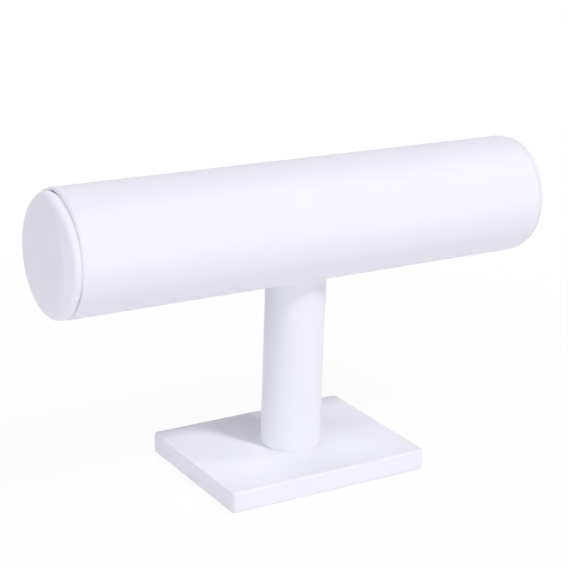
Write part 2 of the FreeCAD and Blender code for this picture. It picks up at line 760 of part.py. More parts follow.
def make_base_cover():
    """The base's leatherette: over the board, down its sides and turned under it."""
    body = new_body("base_cover")
    corner = "(Sizes.board_corner + Sizes.skin)"
    height = f"({BASE_TOP} - Sizes.lining)"
    plan = new_sketch(body, "XY_Plane", "plan")
    rounded_rectangle(plan, BASE_WIDTH, BASE_DEPTH, corner)
    block = pad(body, plan, height)
    doc.recompute()
    soft_edges = body.newObject("PartDesign::Fillet", "base_cover_folded_edges")
    soft_edges.Base = (block, face_names(block, True) + face_names(block, False))
    soft_edges.setExpression("Radius", "Sizes.base_edge")
    cavity = new_sketch(body, "XY_Plane", "cavity", "Sizes.skin")
    rounded_rectangle(cavity, "Sizes.board_width", "Sizes.board_depth", "Sizes.board_corner")
    pocket(body, cavity, "Sizes.board_thickness", along_normal=True)
    window = new_sketch(body, "XY_Plane", "window")
    rounded_rectangle(window, WINDOW_WIDTH, WINDOW_DEPTH, "Sizes.skin")
    pocket(body, window, "(2 * Sizes.skin)", along_normal=True)
    cut_corner_slits(body, height)
    cut_joint_holes(
        body,
        "XY_Plane",
        "screw_holes",
        CLEARANCE_RADIUS,
        height,
        along_normal=True,
        middle="Sizes.base_shift",
    )
    place(body, x="-Sizes.base_shift", z="Sizes.lining")
    return body


def cut_corner_slits(body, height):
    """Opens each corner where the sheet's cut edges meet, up the side and under the base."""
    slits = new_sketch(body, "XY_Plane", "corner_slits")
    beside = "(Sizes.corner_slit / 2 / sqrt(2))"
    out_x = f"({BASE_WIDTH} / 2 + Sizes.skin)"
    out_y = f"({BASE_DEPTH} / 2 + Sizes.skin)"
    in_x = f"({WINDOW_WIDTH} / 2 - Sizes.skin)"
    in_y = f"({WINDOW_DEPTH} / 2 - Sizes.skin)"
    for x_sign in (-1, 1):
        for y_sign in (-1, 1):
            outline(
                slits,
                [
                    (f"{x_sign} * ({out_x} + {beside})", f"{y_sign} * ({out_y} - {beside})"),
                    (f"{x_sign} * ({out_x} - {beside})", f"{y_sign} * ({out_y} + {beside})"),
                    (f"{x_sign} * ({in_x} - {beside})", f"{y_sign} * ({in_y} + {beside})"),
                    (f"{x_sign} * ({in_x} + {beside})", f"{y_sign} * ({in_y} - {beside})"),
                ],
            )
    return pocket(body, slits, f"({height} - Sizes.slit_stop)", along_normal=True)


def make_base_lining():
    """The sheet glued under the base, pressed up into the window of the turned edge."""
    body = new_body("base_lining")
    plan = new_sketch(body, "XY_Plane", "plan")
    width = f"({BASE_WIDTH} - 2 * Sizes.lining_margin)"
    depth = f"({BASE_DEPTH} - 2 * Sizes.lining_margin)"
    rounded_rectangle(plan, width, depth, "Sizes.lining_corner")
    pad(body, plan, "Sizes.lining")
    raised = new_sketch(body, "XY_Plane", "raised", "Sizes.lining")
    rounded_rectangle(raised, WINDOW_WIDTH, WINDOW_DEPTH, "Sizes.skin")
    pad(body, raised, "Sizes.skin")
    recess = new_sketch(body, "XY_Plane", "recess")
    inner_width = f"({WINDOW_WIDTH} - 2 * Sizes.lining)"
    inner_depth = f"({WINDOW_DEPTH} - 2 * Sizes.lining)"
    rounded_rectangle(recess, inner_width, inner_depth, "Sizes.skin")
    pocket(body, recess, "Sizes.skin", along_normal=True)
    place(body, x="-Sizes.base_shift")
    return body


def make_stand():
    """All of the stand's pieces."""
    bodies = [make_bar_tube(), make_bar_cover(), make_bar_block(), make_bar_screws()]
    for side in ("left", "right"):
        bodies += [make_cap_board(side), make_cap_pad(side), make_cap_cover(side)]
    bodies += [make_post_tube(), make_post_cover(), make_post_top_plug(), make_post_bottom_plug()]
    bodies += [make_base_board(), make_base_cover(), make_base_lining(), make_base_screws()]
    return bodies


def check(bodies):
    """Stops if anything in the document failed, or a piece has no sound shape."""
    faults = [o.Label for o in doc.Objects if "Invalid" in o.State or "Error" in o.State]
    for body in bodies:
        if body.Shape.isNull() or not body.Shape.isValid() or not body.Shape.Solids:
            faults.append(f"{body.Label} shape")
    if faults:
        raise RuntimeError("failed: " + ", ".join(faults))


stand = make_stand()
doc.recompute()
check(stand)
os.makedirs("parts", exist_ok=True)
for piece in stand:
    piece.Shape.exportStep(os.path.join("parts", f"{piece.Label}.step"))
    box = piece.Shape.BoundBox
    extents = f"{box.XLength:.2f} x {box.YLength:.2f} x {box.ZLength:.2f}"
    print(f"{piece.Label}: {len(piece.Shape.Solids)} solid, {extents}, {piece.Shape.Volume:.1f} mm3")
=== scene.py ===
"""Dresses a bracelet display stand in its finishes and sets it in a small white studio.

The stand is a thick bar with padded end caps on a round post with a flat base, all wrapped in
white leatherette. Everything is in the stand's own frame, in metres: X runs along the bar,
Y from front to back and Z up, from the floor under the post's axis.
"""

import json
import logging
import math
from dataclasses import dataclass, field
from enum import Enum

import bmesh
import bpy
import numpy as np
from mathutils import Matrix, Vector


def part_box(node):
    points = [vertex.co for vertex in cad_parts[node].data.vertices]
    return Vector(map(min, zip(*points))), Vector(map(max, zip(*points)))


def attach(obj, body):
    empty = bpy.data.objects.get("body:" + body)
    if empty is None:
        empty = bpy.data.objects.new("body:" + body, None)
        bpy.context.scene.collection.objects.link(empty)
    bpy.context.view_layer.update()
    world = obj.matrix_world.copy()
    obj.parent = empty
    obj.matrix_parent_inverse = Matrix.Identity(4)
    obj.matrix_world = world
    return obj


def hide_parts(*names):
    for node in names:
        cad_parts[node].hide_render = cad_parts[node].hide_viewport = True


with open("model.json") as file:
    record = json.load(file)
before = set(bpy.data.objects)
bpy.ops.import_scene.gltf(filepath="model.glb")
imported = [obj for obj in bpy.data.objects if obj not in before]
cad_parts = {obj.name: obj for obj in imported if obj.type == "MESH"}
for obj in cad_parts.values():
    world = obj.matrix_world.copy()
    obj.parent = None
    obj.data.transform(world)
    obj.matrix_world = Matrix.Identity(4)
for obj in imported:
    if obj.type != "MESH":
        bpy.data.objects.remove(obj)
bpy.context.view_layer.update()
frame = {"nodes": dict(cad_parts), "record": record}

MM = 0.001
TURN = 2 * math.pi
BODY = "root"
WHITE = (1.0, 1.0, 1.0, 1.0)
LOG = logging.getLogger("stand")

Colour = tuple[float, float, float]


class Axis(Enum):
    """The line that a turned piece is turned about."""

    ALONG_BAR = False
    UPRIGHT = True


class Held(Enum):
    """How a sheet of the stand is held."""

    STRETCHED = "stretched"
    LAID = "laid"


class Slot(Enum):
    """The record's material slots."""

    LEATHERETTE = "leatherette"
    TUBE_PAPER = "tube_paper"
    GREYBOARD = "greyboard"
    FOAM = "foam"
    SOFTWOOD = "softwood"
    FIBREBOARD = "fibreboard"
    LINING = "lining_cloth"
    SCREW_STEEL = "screw_steel"


def linear(colour: Colour) -> tuple[float, float, float, float]:
    """A colour as it looks on a screen, as the linear colour of a socket.

    Args:
        colour: Its red, green and blue, 0 to 255.

    Returns:
        The linear colour with full alpha.
    """
    shares = []
    for share in (level / 255 for level in colour):
        shares.append(share / 12.92 if share <= 0.04045 else ((share + 0.055) / 1.055) ** 2.4)
    return (*shares, 1.0)


def linked(name: str, mesh: bpy.types.Mesh) -> bpy.types.Object:
    """A new object with that mesh, in the scene."""
    obj = bpy.data.objects.new(name, mesh)
    bpy.context.scene.collection.objects.link(obj)
    return obj


@dataclass
class Profile:
    """An outline to be turned, in millimetres along and out from the axis.

    Each point has shares, 0 to 1, of how much of the lap, the pleats and the unevenness reach
    it, and of whether it is the sheet's cloth backing.
    """

    SHARES = ("lap", "pleat", "wave", "backing")

    spots: list[tuple[float, float]] = field(default_factory=list)
    shares: list[dict[str, float]] = field(default_factory=list)

    def point(self, along: float, out: float, **shares: float) -> None:
        """Adds one point."""
        self.spots.append((along, out))
        self.shares.append(shares)

    def line(self, along: float, out: float, steps: int, **shares: float) -> None:
        """Adds a straight run from the last point.

        Args:
            along: Where the run ends, along the axis.
            out: Where it ends, out from the axis.
            steps: How many equal steps it has.
            shares: The shares of its new points.
        """
        start = self.spots[-1]
        for step in range(1, steps + 1):
            share = step / steps
            self.point(start[0] + (along - start[0]) * share, start[1] + (out - start[1]) * share, **shares)

    def arc(
        self, centre: tuple[float, float], radius: float, first: float, last: float, steps: int,
        **shares: float,
    ) -> None:
        """Adds a round run from the last point.

        Args:
            centre: The arc's centre.
            radius: Its radius.
            first: The angle it starts at, in degrees from the axis's direction.
            last: The angle it ends at.
            steps: How many equal steps it has.
            shares: The shares of its new points.
        """
        for step in range(1, steps + 1):
            angle = math.radians(first + (last - first) * step / steps)
            self.point(centre[0] + radius * math.cos(angle), centre[1] + radius * math.sin(angle), **shares)

    def object(self, name: str) -> bpy.types.Object:
        """The outline as an object of loose edges, with its shares as attributes.

        Args:
            name: The object's name.

        Returns:
            The object, in the scene.
        """
        mesh = bpy.data.meshes.new(name)
        points = [(along * MM, out * MM, 0.0) for along, out in self.spots]
        mesh.from_pydata(points, [(i, i + 1) for i in range(len(points) - 1)], [])
        for share in self.SHARES:
            store(mesh, share, [shares.get(share, 0.0) for shares in self.shares])
        return linked(name, mesh)


def store(mesh: bpy.types.Mesh, name: str, values: list[float]) -> None:
    """Gives a mesh a new value attribute, one value to a vertex."""
    mesh.attributes.new(name, "FLOAT", "POINT").data.foreach_set("value", values)


class Wire:
    """A node's output that takes part in sums: each operator adds a Math node after it."""

    def __init__(self, canvas: "Canvas", socket: bpy.types.NodeSocket) -> None:
        """Takes hold of an output.

        Args:
            canvas: The canvas that its node is on.
            socket: The output.
        """
        self.canvas = canvas
        self.socket = socket

    def __add__(self, other: "Value") -> "Wire":
        """This and another value together."""
        return self.canvas.math("ADD", self, other)

    def __sub__(self, other: "Value") -> "Wire":
        """This less another value."""
        return self.canvas.math("SUBTRACT", self, other)

    def __rsub__(self, other: "Value") -> "Wire":
        """Another value less this."""
        return self.canvas.math("SUBTRACT", other, self)

    def __mul__(self, other: "Value") -> "Wire":
        """This times another value."""
        return self.canvas.math("MULTIPLY", self, other)

    def __truediv__(self, other: "Value") -> "Wire":
        """This divided by another value."""
        return self.canvas.math("DIVIDE", self, other)

    def __rtruediv__(self, other: "Value") -> "Wire":
        """Another value divided by this."""
        return self.canvas.math("DIVIDE", other, self)

    def __pow__(self, other: "Value") -> "Wire":
        """This to a power."""
        return self.canvas.math("POWER", self, other)

    def scaled(self, factor: "Value", shift: "Value") -> "Wire":
        """This times a factor, and then a shift added."""
        return self.canvas.math("MULTIPLY_ADD", self, factor, shift)

    def ranged(self, low: float, high: float) -> "Wire":
        """A value from 0 to 1 spread over another range."""
        return self.scaled(high - low, low)

    def clamped(self) -> "Wire":
        """This kept between 0 and 1."""
        return self.canvas.wire("ShaderNodeClamp", inputs={"Value": self})


Value = Wire | bpy.types.Material | float | int | bool | str | tuple


class Canvas:
    """A node tree under construction: adds nodes and feeds their sockets."""

    def __init__(self, tree: bpy.types.NodeTree) -> None:
        """Starts on a tree.

        Args:
            tree: The tree that the nodes go into.
        """
        self.tree = tree

    def add(
        self, kind: str, settings: dict[str, Value] | None = None,
        inputs: dict[str | int, Value] | None = None,
    ) -> bpy.types.Node:
        """Adds one node.

        Args:
            kind: The node's type name.
            settings: The node's own properties.
            inputs: What its inputs are fed, by name or by number.

        Returns:
            The new node.
        """
        node = self.tree.nodes.new(kind)
        for name, value in (settings or {}).items():
            setattr(node, name, value)
        for name, value in (inputs or {}).items():
            self.feed(node.inputs[name], value)
        return node

    def wire(
        self, kind: str, settings: dict[str, Value] | None = None,
        inputs: dict[str | int, Value] | None = None, output: str | int = 0,
    ) -> Wire:
        """Adds one node and takes one of its outputs.

        Args:
            kind: The node's type name.
            settings: The node's own properties.
            inputs: What its inputs are fed, by name or by number.
            output: The output's name or number.

        Returns:
            The output.
        """
        return Wire(self, self.add(kind, settings, inputs).outputs[output])

    def feed(self, socket: bpy.types.NodeSocket, value: Value) -> None:
        """Gives an input its value.

        Args:
            socket: The input.
            value: A wire to link from, or a constant.
        """
        if isinstance(value, Wire):
            self.tree.links.new(value.socket, socket)
            return
        socket.default_value = value

    def math(self, operation: str, *values: Value) -> Wire:
        """The result of one Math node on those values, in order."""
        return self.wire("ShaderNodeMath", {"operation": operation}, dict(enumerate(values)))

    def vector(self, x: Value, y: Value, z: Value) -> Wire:
        """Three values as one vector."""
        return self.wire("ShaderNodeCombineXYZ", inputs={0: x, 1: y, 2: z})

    def parts(self, vector: Wire) -> list[Wire]:
        """A vector's three values."""
        node = self.add("ShaderNodeSeparateXYZ", inputs={0: vector})
        return [Wire(self, output) for output in node.outputs]

    def noise(self, vector: Wire, scale: Value, detail: float, seed: Value) -> Wire:
        """Smooth noise from 0 to 1.

        Args:
            vector: Where it is read.
            scale: Its waves to the metre.
            detail: How many finer layers it has.
            seed: Which noise it is.

        Returns:
            The noise's value.
        """
        inputs = {"Vector": vector, "Scale": scale, "Detail": detail, "W": seed}
        return self.wire("ShaderNodeTexNoise", {"noise_dimensions": "4D"}, inputs)


class GeometryTree(Canvas):
    """A Geometry Nodes tree with named inputs, which several pieces may share."""

    def __init__(self, name: str) -> None:
        """Makes an empty tree.

        Args:
            name: The tree's name.
        """
        super().__init__(bpy.data.node_groups.new(name, "GeometryNodeTree"))
        self.tree.interface.new_socket("Geometry", in_out="OUTPUT", socket_type="NodeSocketGeometry")
        self.entry = self.tree.nodes.new("NodeGroupInput")
        self.inputs: dict[str, tuple[str, bool]] = {}

    def take(self, name: str, kind: str = "Length") -> Wire:
        """Adds a named input.

        Args:
            name: The input's name.
            kind: Length, which is given in millimetres, or a socket's kind, such as Float or Int.

        Returns:
            Its value inside the tree, in metres where it is a length.
        """
        is_length = kind == "Length"
        socket_type = "NodeSocketFloat" if is_length else f"NodeSocket{kind}"
        item = self.tree.interface.new_socket(name, in_out="INPUT", socket_type=socket_type)
        self.inputs[name] = (item.identifier, is_length)
        return Wire(self, self.entry.outputs[name])

    def close(self, geometry: Wire, material: Wire) -> None:
        """Ends the tree: real geometry in one material.

        Args:
            geometry: What the tree has made.
            material: The material input.
        """
        real = self.wire("GeometryNodeRealizeInstances", inputs={"Geometry": geometry})
        painted = self.wire("GeometryNodeSetMaterial", inputs={"Geometry": real, "Material": material})
        self.add("NodeGroupOutput", inputs={"Geometry": painted})

    def apply_to(self, obj: bpy.types.Object, **values: Value) -> None:
        """Puts the tree on an object as a modifier.

        Args:
            obj: The object.
            values: The tree's inputs, with an underscore for each space.
        """
        modifier = obj.modifiers.new(self.tree.name, "NODES")
        modifier.node_group = self.tree
        for name, value in values.items():
            identifier, is_length = self.inputs[name.replace("_", " ").title()]
            modifier[identifier] = value * MM if is_length else value


class TurnedSheetTree(GeometryTree):
    """Turns an outline into a closed skin, with a glued lap, pleats and an uneven surface."""

    MERGE = 1e-7
    PLAIN = {
        "segments": 360, "upright": Axis.ALONG_BAR.value, "lap_angle": 0.0, "lap_width": 1000.0,
        "lap_ramp": 1000.0, "lap_step": 0.0, "seed": 0.0, "pleats": 1, "pleat_depth": 0.0,
        "seat_radius": 0.0, "seat_height": 10000.0, "wave_size": 30.0, "wave_depth": 0.0,
    }
    DRIFT = 9.0
    DRIFT_SCALE = 2.2
    GATHER_SCALE = 1.6
    GATHER_SEED = 5.0
    GATHER_SLOPE = 5.0
    GATHER_START = -1.9

    def __init__(self) -> None:
        """Builds the tree."""
        super().__init__("turned_sheet")
        outline = self.take("Outline", "Geometry")
        segments = self.take("Segments", "Int")
        upright = self.take("Upright", "Bool")
        material = self.take("Material", "Material")
        seed = self.take("Seed", "Float")
        rows = self.wire("GeometryNodeAttributeDomainSize", inputs={0: outline}, output="Point Count")
        columns = segments + 1.0
        skin = self.wire("GeometryNodeMeshGrid", inputs={"Vertices X": rows, "Vertices Y": columns})
        index = self.wire("GeometryNodeInputIndex")
        row = self.math("FLOOR", (index + 0.5) / columns)
        angle = (index - row * columns) * TURN / segments
        position = self.wire("GeometryNodeInputPosition")
        along, radius, _ = self.parts(self.sampled(outline, position, row, "FLOAT_VECTOR"))
        lift = self.lap(angle, radius) * self.share("lap", outline, row)
        dip = self.pleat(angle, seed) * self.share("pleat", outline, row)
        placed = self.placed(along, radius + lift - dip, angle, upright)
        for name in ("wave", "backing"):
            inputs = {"Geometry": skin, "Name": name, "Value": self.share(name, outline, row)}
            skin = self.wire("GeometryNodeStoreNamedAttribute", {"data_type": "FLOAT"}, inputs)
        moved = self.wire("GeometryNodeSetPosition", inputs={"Geometry": skin, "Position": placed})
        merged = self.wire("GeometryNodeMergeByDistance", inputs={0: moved, "Distance": self.MERGE})
        self.close(self.waved(merged, seed), material)

    def sampled(self, outline: Wire, value: Wire, row: Wire, kind: str) -> Wire:
        """A value of the outline's point that a row is made from.

        Args:
            outline: The outline.
            value: What is read.
            row: The number of the point.
            kind: The value's data type.

        Returns:
            The value.
        """
        inputs = {"Geometry": outline, "Value": value, "Index": row}
        return self.wire("GeometryNodeSampleIndex", {"data_type": kind}, inputs)

    def named(self, name: str) -> Wire:
        """A value attribute of the geometry in hand."""
        return self.wire("GeometryNodeInputNamedAttribute", {"data_type": "FLOAT"}, {"Name": name})

    def share(self, name: str, outline: Wire, row: Wire) -> Wire:
        """One of the outline's shares, 0 to 1, at a row."""
        return self.sampled(outline, self.named(name), row, "FLOAT")

    def lap(self, angle: Wire, radius: Wire) -> Wire:
        """The height of the glued lap: a cut edge on one side and a ramp on the other.

        Args:
            angle: The place round the axis.
            radius: The distance from the axis.

        Returns:
            The height, in metres.
        """
        nearest = self.math("WRAP", angle - self.take("Lap Angle", "Float"), math.pi, -math.pi)
        beside = nearest * radius
        half = self.take("Lap Width") * 0.5
        fall = (half - beside) / self.take("Lap Ramp")
        edge = self.math("GREATER_THAN", beside, half * -1.0)
        return fall.clamped() * edge * self.take("Lap Step")

    def pleat(self, angle: Wire, seed: Wire) -> Wire:
        """The depth of the gathers: uneven folds that come and go round the axis.

        Args:
            angle: The place round the axis.
            seed: Which gathers they are.

        Returns:
            The depth, in metres.
        """
        circle = self.vector(self.math("COSINE", angle), self.math("SINE", angle), 0.0)
        drift = self.noise(circle, self.DRIFT_SCALE, 1.0, seed) * self.DRIFT
        half_turns = angle * self.take("Pleats", "Int") * 0.5
        ridge = self.math("ABSOLUTE", self.math("SINE", half_turns + drift))
        here = self.noise(circle, self.GATHER_SCALE, 1.0, seed + self.GATHER_SEED)
        strength = here.scaled(self.GATHER_SLOPE, self.GATHER_START).clamped()
        return (1.0 - ridge) ** 2.0 * strength * self.take("Pleat Depth")

    def placed(self, along: Wire, out: Wire, angle: Wire, upright: Wire) -> Wire:
        """Where a point goes, from its place along, out from and round the axis.

        Args:
            along: The place along the axis.
            out: The distance from the axis.
            angle: The angle from the lowest line of a bar, or from the back of a post.
            upright: Whether the axis is a post's.

        Returns:
            The position. A post's top follows the round seat that lies on it.
        """
        side = out * self.math("SINE", angle)
        level = out * self.math("COSINE", angle)
        under = self.math("MAXIMUM", self.take("Seat Radius") ** 2.0 - level * level, 0.0)
        top = self.take("Seat Height") - self.math("SQRT", under)
        bar = self.vector(along, side, level * -1.0)
        post = self.vector(side, level, self.math("MINIMUM", along, top))
        inputs = {"Switch": upright, "False": bar, "True": post}
        return self.wire("GeometryNodeSwitch", {"input_type": "VECTOR"}, inputs)

    def waved(self, skin: Wire, seed: Wire) -> Wire:
        """Gives the skin the slight unevenness of sheet that was glued down by hand.

        Args:
            skin: The smooth skin.
            seed: Which unevenness it is.

        Returns:
            The uneven skin.
        """
        position = self.wire("GeometryNodeInputPosition")
        height = self.noise(position, 1.0 / self.take("Wave Size"), 2.0, seed)
        depth = self.take("Wave Depth") * self.named("wave")
        inputs = {0: self.wire("GeometryNodeInputNormal"), "Scale": (height - 0.5) * 2.0 * depth}
        offset = self.wire("ShaderNodeVectorMath", {"operation": "SCALE"}, inputs)
        moved = self.wire("GeometryNodeSetPosition", inputs={"Geometry": skin, "Offset": offset})
        return self.wire("GeometryNodeSetShadeSmooth", inputs={0: moved})

    def turn(
        self, name: str, profile: Profile, material: bpy.types.Material, **values: Value
    ) -> bpy.types.Object:
        """An outline with this tree on it, not yet a plain mesh.

        Args:
            name: The piece's name.
            profile: Its outline.
            material: Its finish.
            values: The tree's inputs that differ from a plain piece's.

        Returns:
            The object with its modifier.
        """
        obj = profile.object(name)
        self.apply_to(obj, **{**self.PLAIN, "material": material, **values})
        return obj


class TabRingTree(GeometryTree):
    """Adds a ring of tabs to a skin: what V notches leave of an edge that is turned in."""

    ACROSS = 9
    DOWN = 5

    def __init__(self) -> None:
        """Builds the tree."""
        super().__init__("tab_ring")
        skin = self.take("Skin", "Geometry")
        count = self.take("Tabs", "Int")
        material = self.take("Material", "Material")
        cube = self.wire("GeometryNodeMeshCube", inputs={"Vertices X": self.DOWN, "Vertices Y": self.ACROSS})
        down, across, thick = self.parts(self.wire("GeometryNodeInputPosition"))
        down = down + 0.5
        thick = thick + 0.5
        along = self.between(down, self.take("Root Along"), self.take("Tip Along"))
        radius = self.between(down, self.take("Root Radius"), self.take("Tip Radius"))
        pitch = TURN / count
        angle = across * (pitch - self.take("Notch Width") * down / radius)
        along = thick.scaled(self.take("Thick Along"), along)
        radius = thick.scaled(self.take("Thick Out"), radius)
        level = radius * self.math("COSINE", angle)
        place = self.vector(along, radius * self.math("SINE", angle), level * -1.0)
        tab = self.wire("GeometryNodeSetPosition", inputs={"Geometry": cube, "Position": place})
        points = self.wire("GeometryNodeMeshLine", inputs={"Count": count, "Offset": (0.0, 0.0, 0.0)})
        turned = self.vector(self.wire("GeometryNodeInputIndex") * pitch, 0.0, 0.0)
        inputs = {"Points": points, "Instance": tab, "Rotation": turned}
        ring = self.wire("GeometryNodeInstanceOnPoints", inputs=inputs)
        joined = self.add("GeometryNodeJoinGeometry")
        for part in (ring, skin):
            self.feed(joined.inputs[0], part)
        self.close(Wire(self, joined.outputs[0]), material)

    def between(self, share: Wire, start: Wire, stop: Wire) -> Wire:
        """The value that share of the way from start to stop."""
        return share.scaled(stop - start, start)


class ThreadTree(GeometryTree):
    """Winds a thread's ridge round each of a joint's two screws."""

    TURN_STEPS = 20
    SCREWS = 2

    def __init__(self) -> None:
        """Builds the tree."""
        super().__init__("screw_thread")
        self.take("Base", "Geometry")
        material = self.take("Material", "Material")
        inputs = {"Resolution": self.TURN_STEPS, "Rotations": self.take("Turns", "Float")}
        inputs["Height"] = self.take("Rise")
        inputs["Start Radius"] = inputs["End Radius"] = self.take("Root Radius")
        spiral = self.wire("GeometryNodeCurveSpiral", inputs=inputs)
        inputs = {"Resolution": 3, "Radius": self.take("Ridge")}
        ridge = self.wire("GeometryNodeCurvePrimitiveCircle", inputs=inputs)
        inputs = {"Curve": spiral, "Profile Curve": ridge, "Fill Caps": True}
        swept = self.wire("GeometryNodeCurveToMesh", inputs=inputs)
        start = self.vector(self.take("First Along"), 0.0, self.take("Foot"))
        step = self.vector(self.take("Spacing"), 0.0, 0.0)
        inputs = {"Count": self.SCREWS, "Start Location": start, "Offset": step}
        points = self.wire("GeometryNodeMeshLine", inputs=inputs)
        pair = self.wire("GeometryNodeInstanceOnPoints", inputs={"Points": points, "Instance": swept})
        self.close(pair, material)


def baked(obj: bpy.types.Object, move: Vector | None = None, turn: float = 0.0) -> bpy.types.Object:
    """Turns an object's modifiers into its own plain mesh, faces outwards.

    Args:
        obj: The object.
        move: Where the mesh's origin goes in the stand's frame.
        turn: How far the mesh is turned about Z first, in radians.

    Returns:
        The same object.
    """
    depsgraph = bpy.context.evaluated_depsgraph_get()
    evaluated = obj.evaluated_get(depsgraph)
    mesh = bpy.data.meshes.new_from_object(evaluated, preserve_all_data_layers=True, depsgraph=depsgraph)
    obj.modifiers.clear()
    obj.data = mesh
    if turn:
        mesh.transform(Matrix.Rotation(turn, 4, "Z"))
    if move is not None:
        mesh.transform(Matrix.Translation(move))
    face_outwards(mesh)
    return obj


def face_outwards(mesh: bpy.types.Mesh, sharp: float = 40.0) -> None:
    """Turns each closed shell of a mesh the right way round, and keeps its corners crisp.

    Args:
        mesh: The mesh.
        sharp: The angle between faces, in degrees, from which an edge is a corner.
    """
    shell = bmesh.new()
    shell.from_mesh(mesh)
    waiting = set(shell.faces)
    while waiting:
        island, edge_of_search = [], [waiting.pop()]
        while edge_of_search:
            face = edge_of_search.pop()
            island.append(face)
            for edge in face.edges:
                for other in edge.link_faces:
                    if other in waiting:
                        waiting.discard(other)
                        edge_of_search.append(other)
        if sum(signed_volume(face) for face in island) < 0:
            bmesh.ops.reverse_faces(shell, faces=island)
    shell.to_mesh(mesh)
    shell.free()
    mesh.polygons.foreach_set("use_smooth", [True] * len(mesh.polygons))
    mesh.set_sharp_from_angle(angle=math.radians(sharp))


def signed_volume(face: bmesh.types.BMFace) -> float:
    """The volume between a face and the origin.

    Args:
        face: The face.

    Returns:
        The volume, below zero where the face looks inwards.
    """
    corners = [vertex.co for vertex in face.verts]
    total = 0.0
    for second, third in zip(corners[1:], corners[2:]):
        total += corners[0].dot(second.cross(third)) / 6
    return total


@dataclass(frozen=True)
class Gauge:
    """Sizes that the stand's own pieces share, in millimetres."""

    skin: float = 0.7
    tube_wall: float = 2.4
    tube_turn_in: float = 12.0
    tube_tabs: int = 16
    notch_width: float = 3.2
    notch_root: float = 2.5
    lap_step: float = 0.5
    lap_ramp: float = 2.5
    base_turn_under: float = 14.0


GAUGE = Gauge()


def extent(node: str) -> tuple[Vector, Vector]:
    """A node's middle and its size along X, Y and Z, in millimetres."""
    low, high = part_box(node)
    return (low + high) / 2 / MM, (high - low) / MM


def heights(node: str) -> tuple[float, float]:
    """The heights of a node's lowest and highest point, in millimetres."""
    low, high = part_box(node)
    return low.z / MM, high.z / MM


def steps(count: int, first: int = 1) -> list[float]:
    """Equal steps up to 1, from the first on, as shares of the whole way."""
    return [step / count for step in range(first, count + 1)]


def eased(values: np.ndarray, start: float, stop: float) -> np.ndarray:
    """Eases values from 0 at a start to 1 at a stop."""
    share = np.clip((values - start) / (stop - start), 0.0, 1.0)
    return share * share * (3 - 2 * share)


@dataclass(frozen=True)
class Cut:
    """The flat sheet that a covering was cut from: its outside sizes and its area."""

    width: float
    length: float
    area: float

    def declare(self) -> None:
        """Works out this sheet's flat size, that it is held stretched, and its area, and uses none of them.
        """
        flat, held = (self.width * MM, self.length * MM), Held.STRETCHED.value
        self.area * MM * MM


@dataclass(frozen=True)
class Rim:
    """The round rim of a piece at one end of the bar.

    Its seam is the middle of the joint between cap and sleeve, in metres, outward is 1 at the
    right end and -1 at the left, and the radius is in millimetres.
    """

    seam: Vector
    outward: int
    radius: float

    def read(self, mesh: bpy.types.Mesh) -> tuple[np.ndarray, np.ndarray, np.ndarray]:
        """Every vertex's place at the rim.

        Args:
            mesh: The piece's mesh.

        Returns:
            How far out of the seam each vertex is and how far from its axis, in millimetres,
            and its angle from the back over the top, in degrees.
        """
        spots = np.empty(len(mesh.vertices) * 3)
        mesh.vertices.foreach_get("co", spots)
        spots = (spots.reshape(-1, 3) - np.array(self.seam)) / MM
        angles = np.degrees(np.arctan2(spots[:, 2], spots[:, 1])) % 360.0
        return self.outward * spots[:, 0], np.hypot(spots[:, 1], spots[:, 2]), angles

    def write(self, mesh: bpy.types.Mesh, along: np.ndarray, out: np.ndarray, angles: np.ndarray) -> None:
        """Moves every vertex to its new place.

        Args:
            mesh: The piece's mesh.
            along: How far out of the seam each vertex goes, in millimetres.
            out: How far from its axis.
            angles: Its angle, in degrees.
        """
        turns = np.radians(angles)
        spots = np.stack([self.outward * along, out * np.cos(turns), out * np.sin(turns)], axis=1)
        mesh.vertices.foreach_set("co", (spots * MM + np.array(self.seam)).ravel())
        mesh.update()


@dataclass(frozen=True)
class Mark:
    """A stretch of a rim that was pulled or glued by hand a little unevenly.

    Its angle goes round the bar from the back over the top, so the top is 90 and the front 180.
    Its depths are in millimetres, and its gap shade is a share of the shade painted into the seam where it
    gapes.
    """

    angle: float
    spread: float
    out: float = 0.0
    lift: float = 0.0
    press: float = 0.0
    pucker: float = 0.0
    roll: float = 0.0
    painted_gap_shade: float = 0.0

    def share(self, angles: np.ndarray) -> np.ndarray:
        """How much of the mark each angle has: 1 at its middle, 0 from its spread on."""
        apart = np.abs((angles - self.angle + 180.0) % 360.0 - 180.0)
        return np.where(apart < self.spread, 0.5 + 0.5 * np.cos(math.pi * apart / self.spread), 0.0)


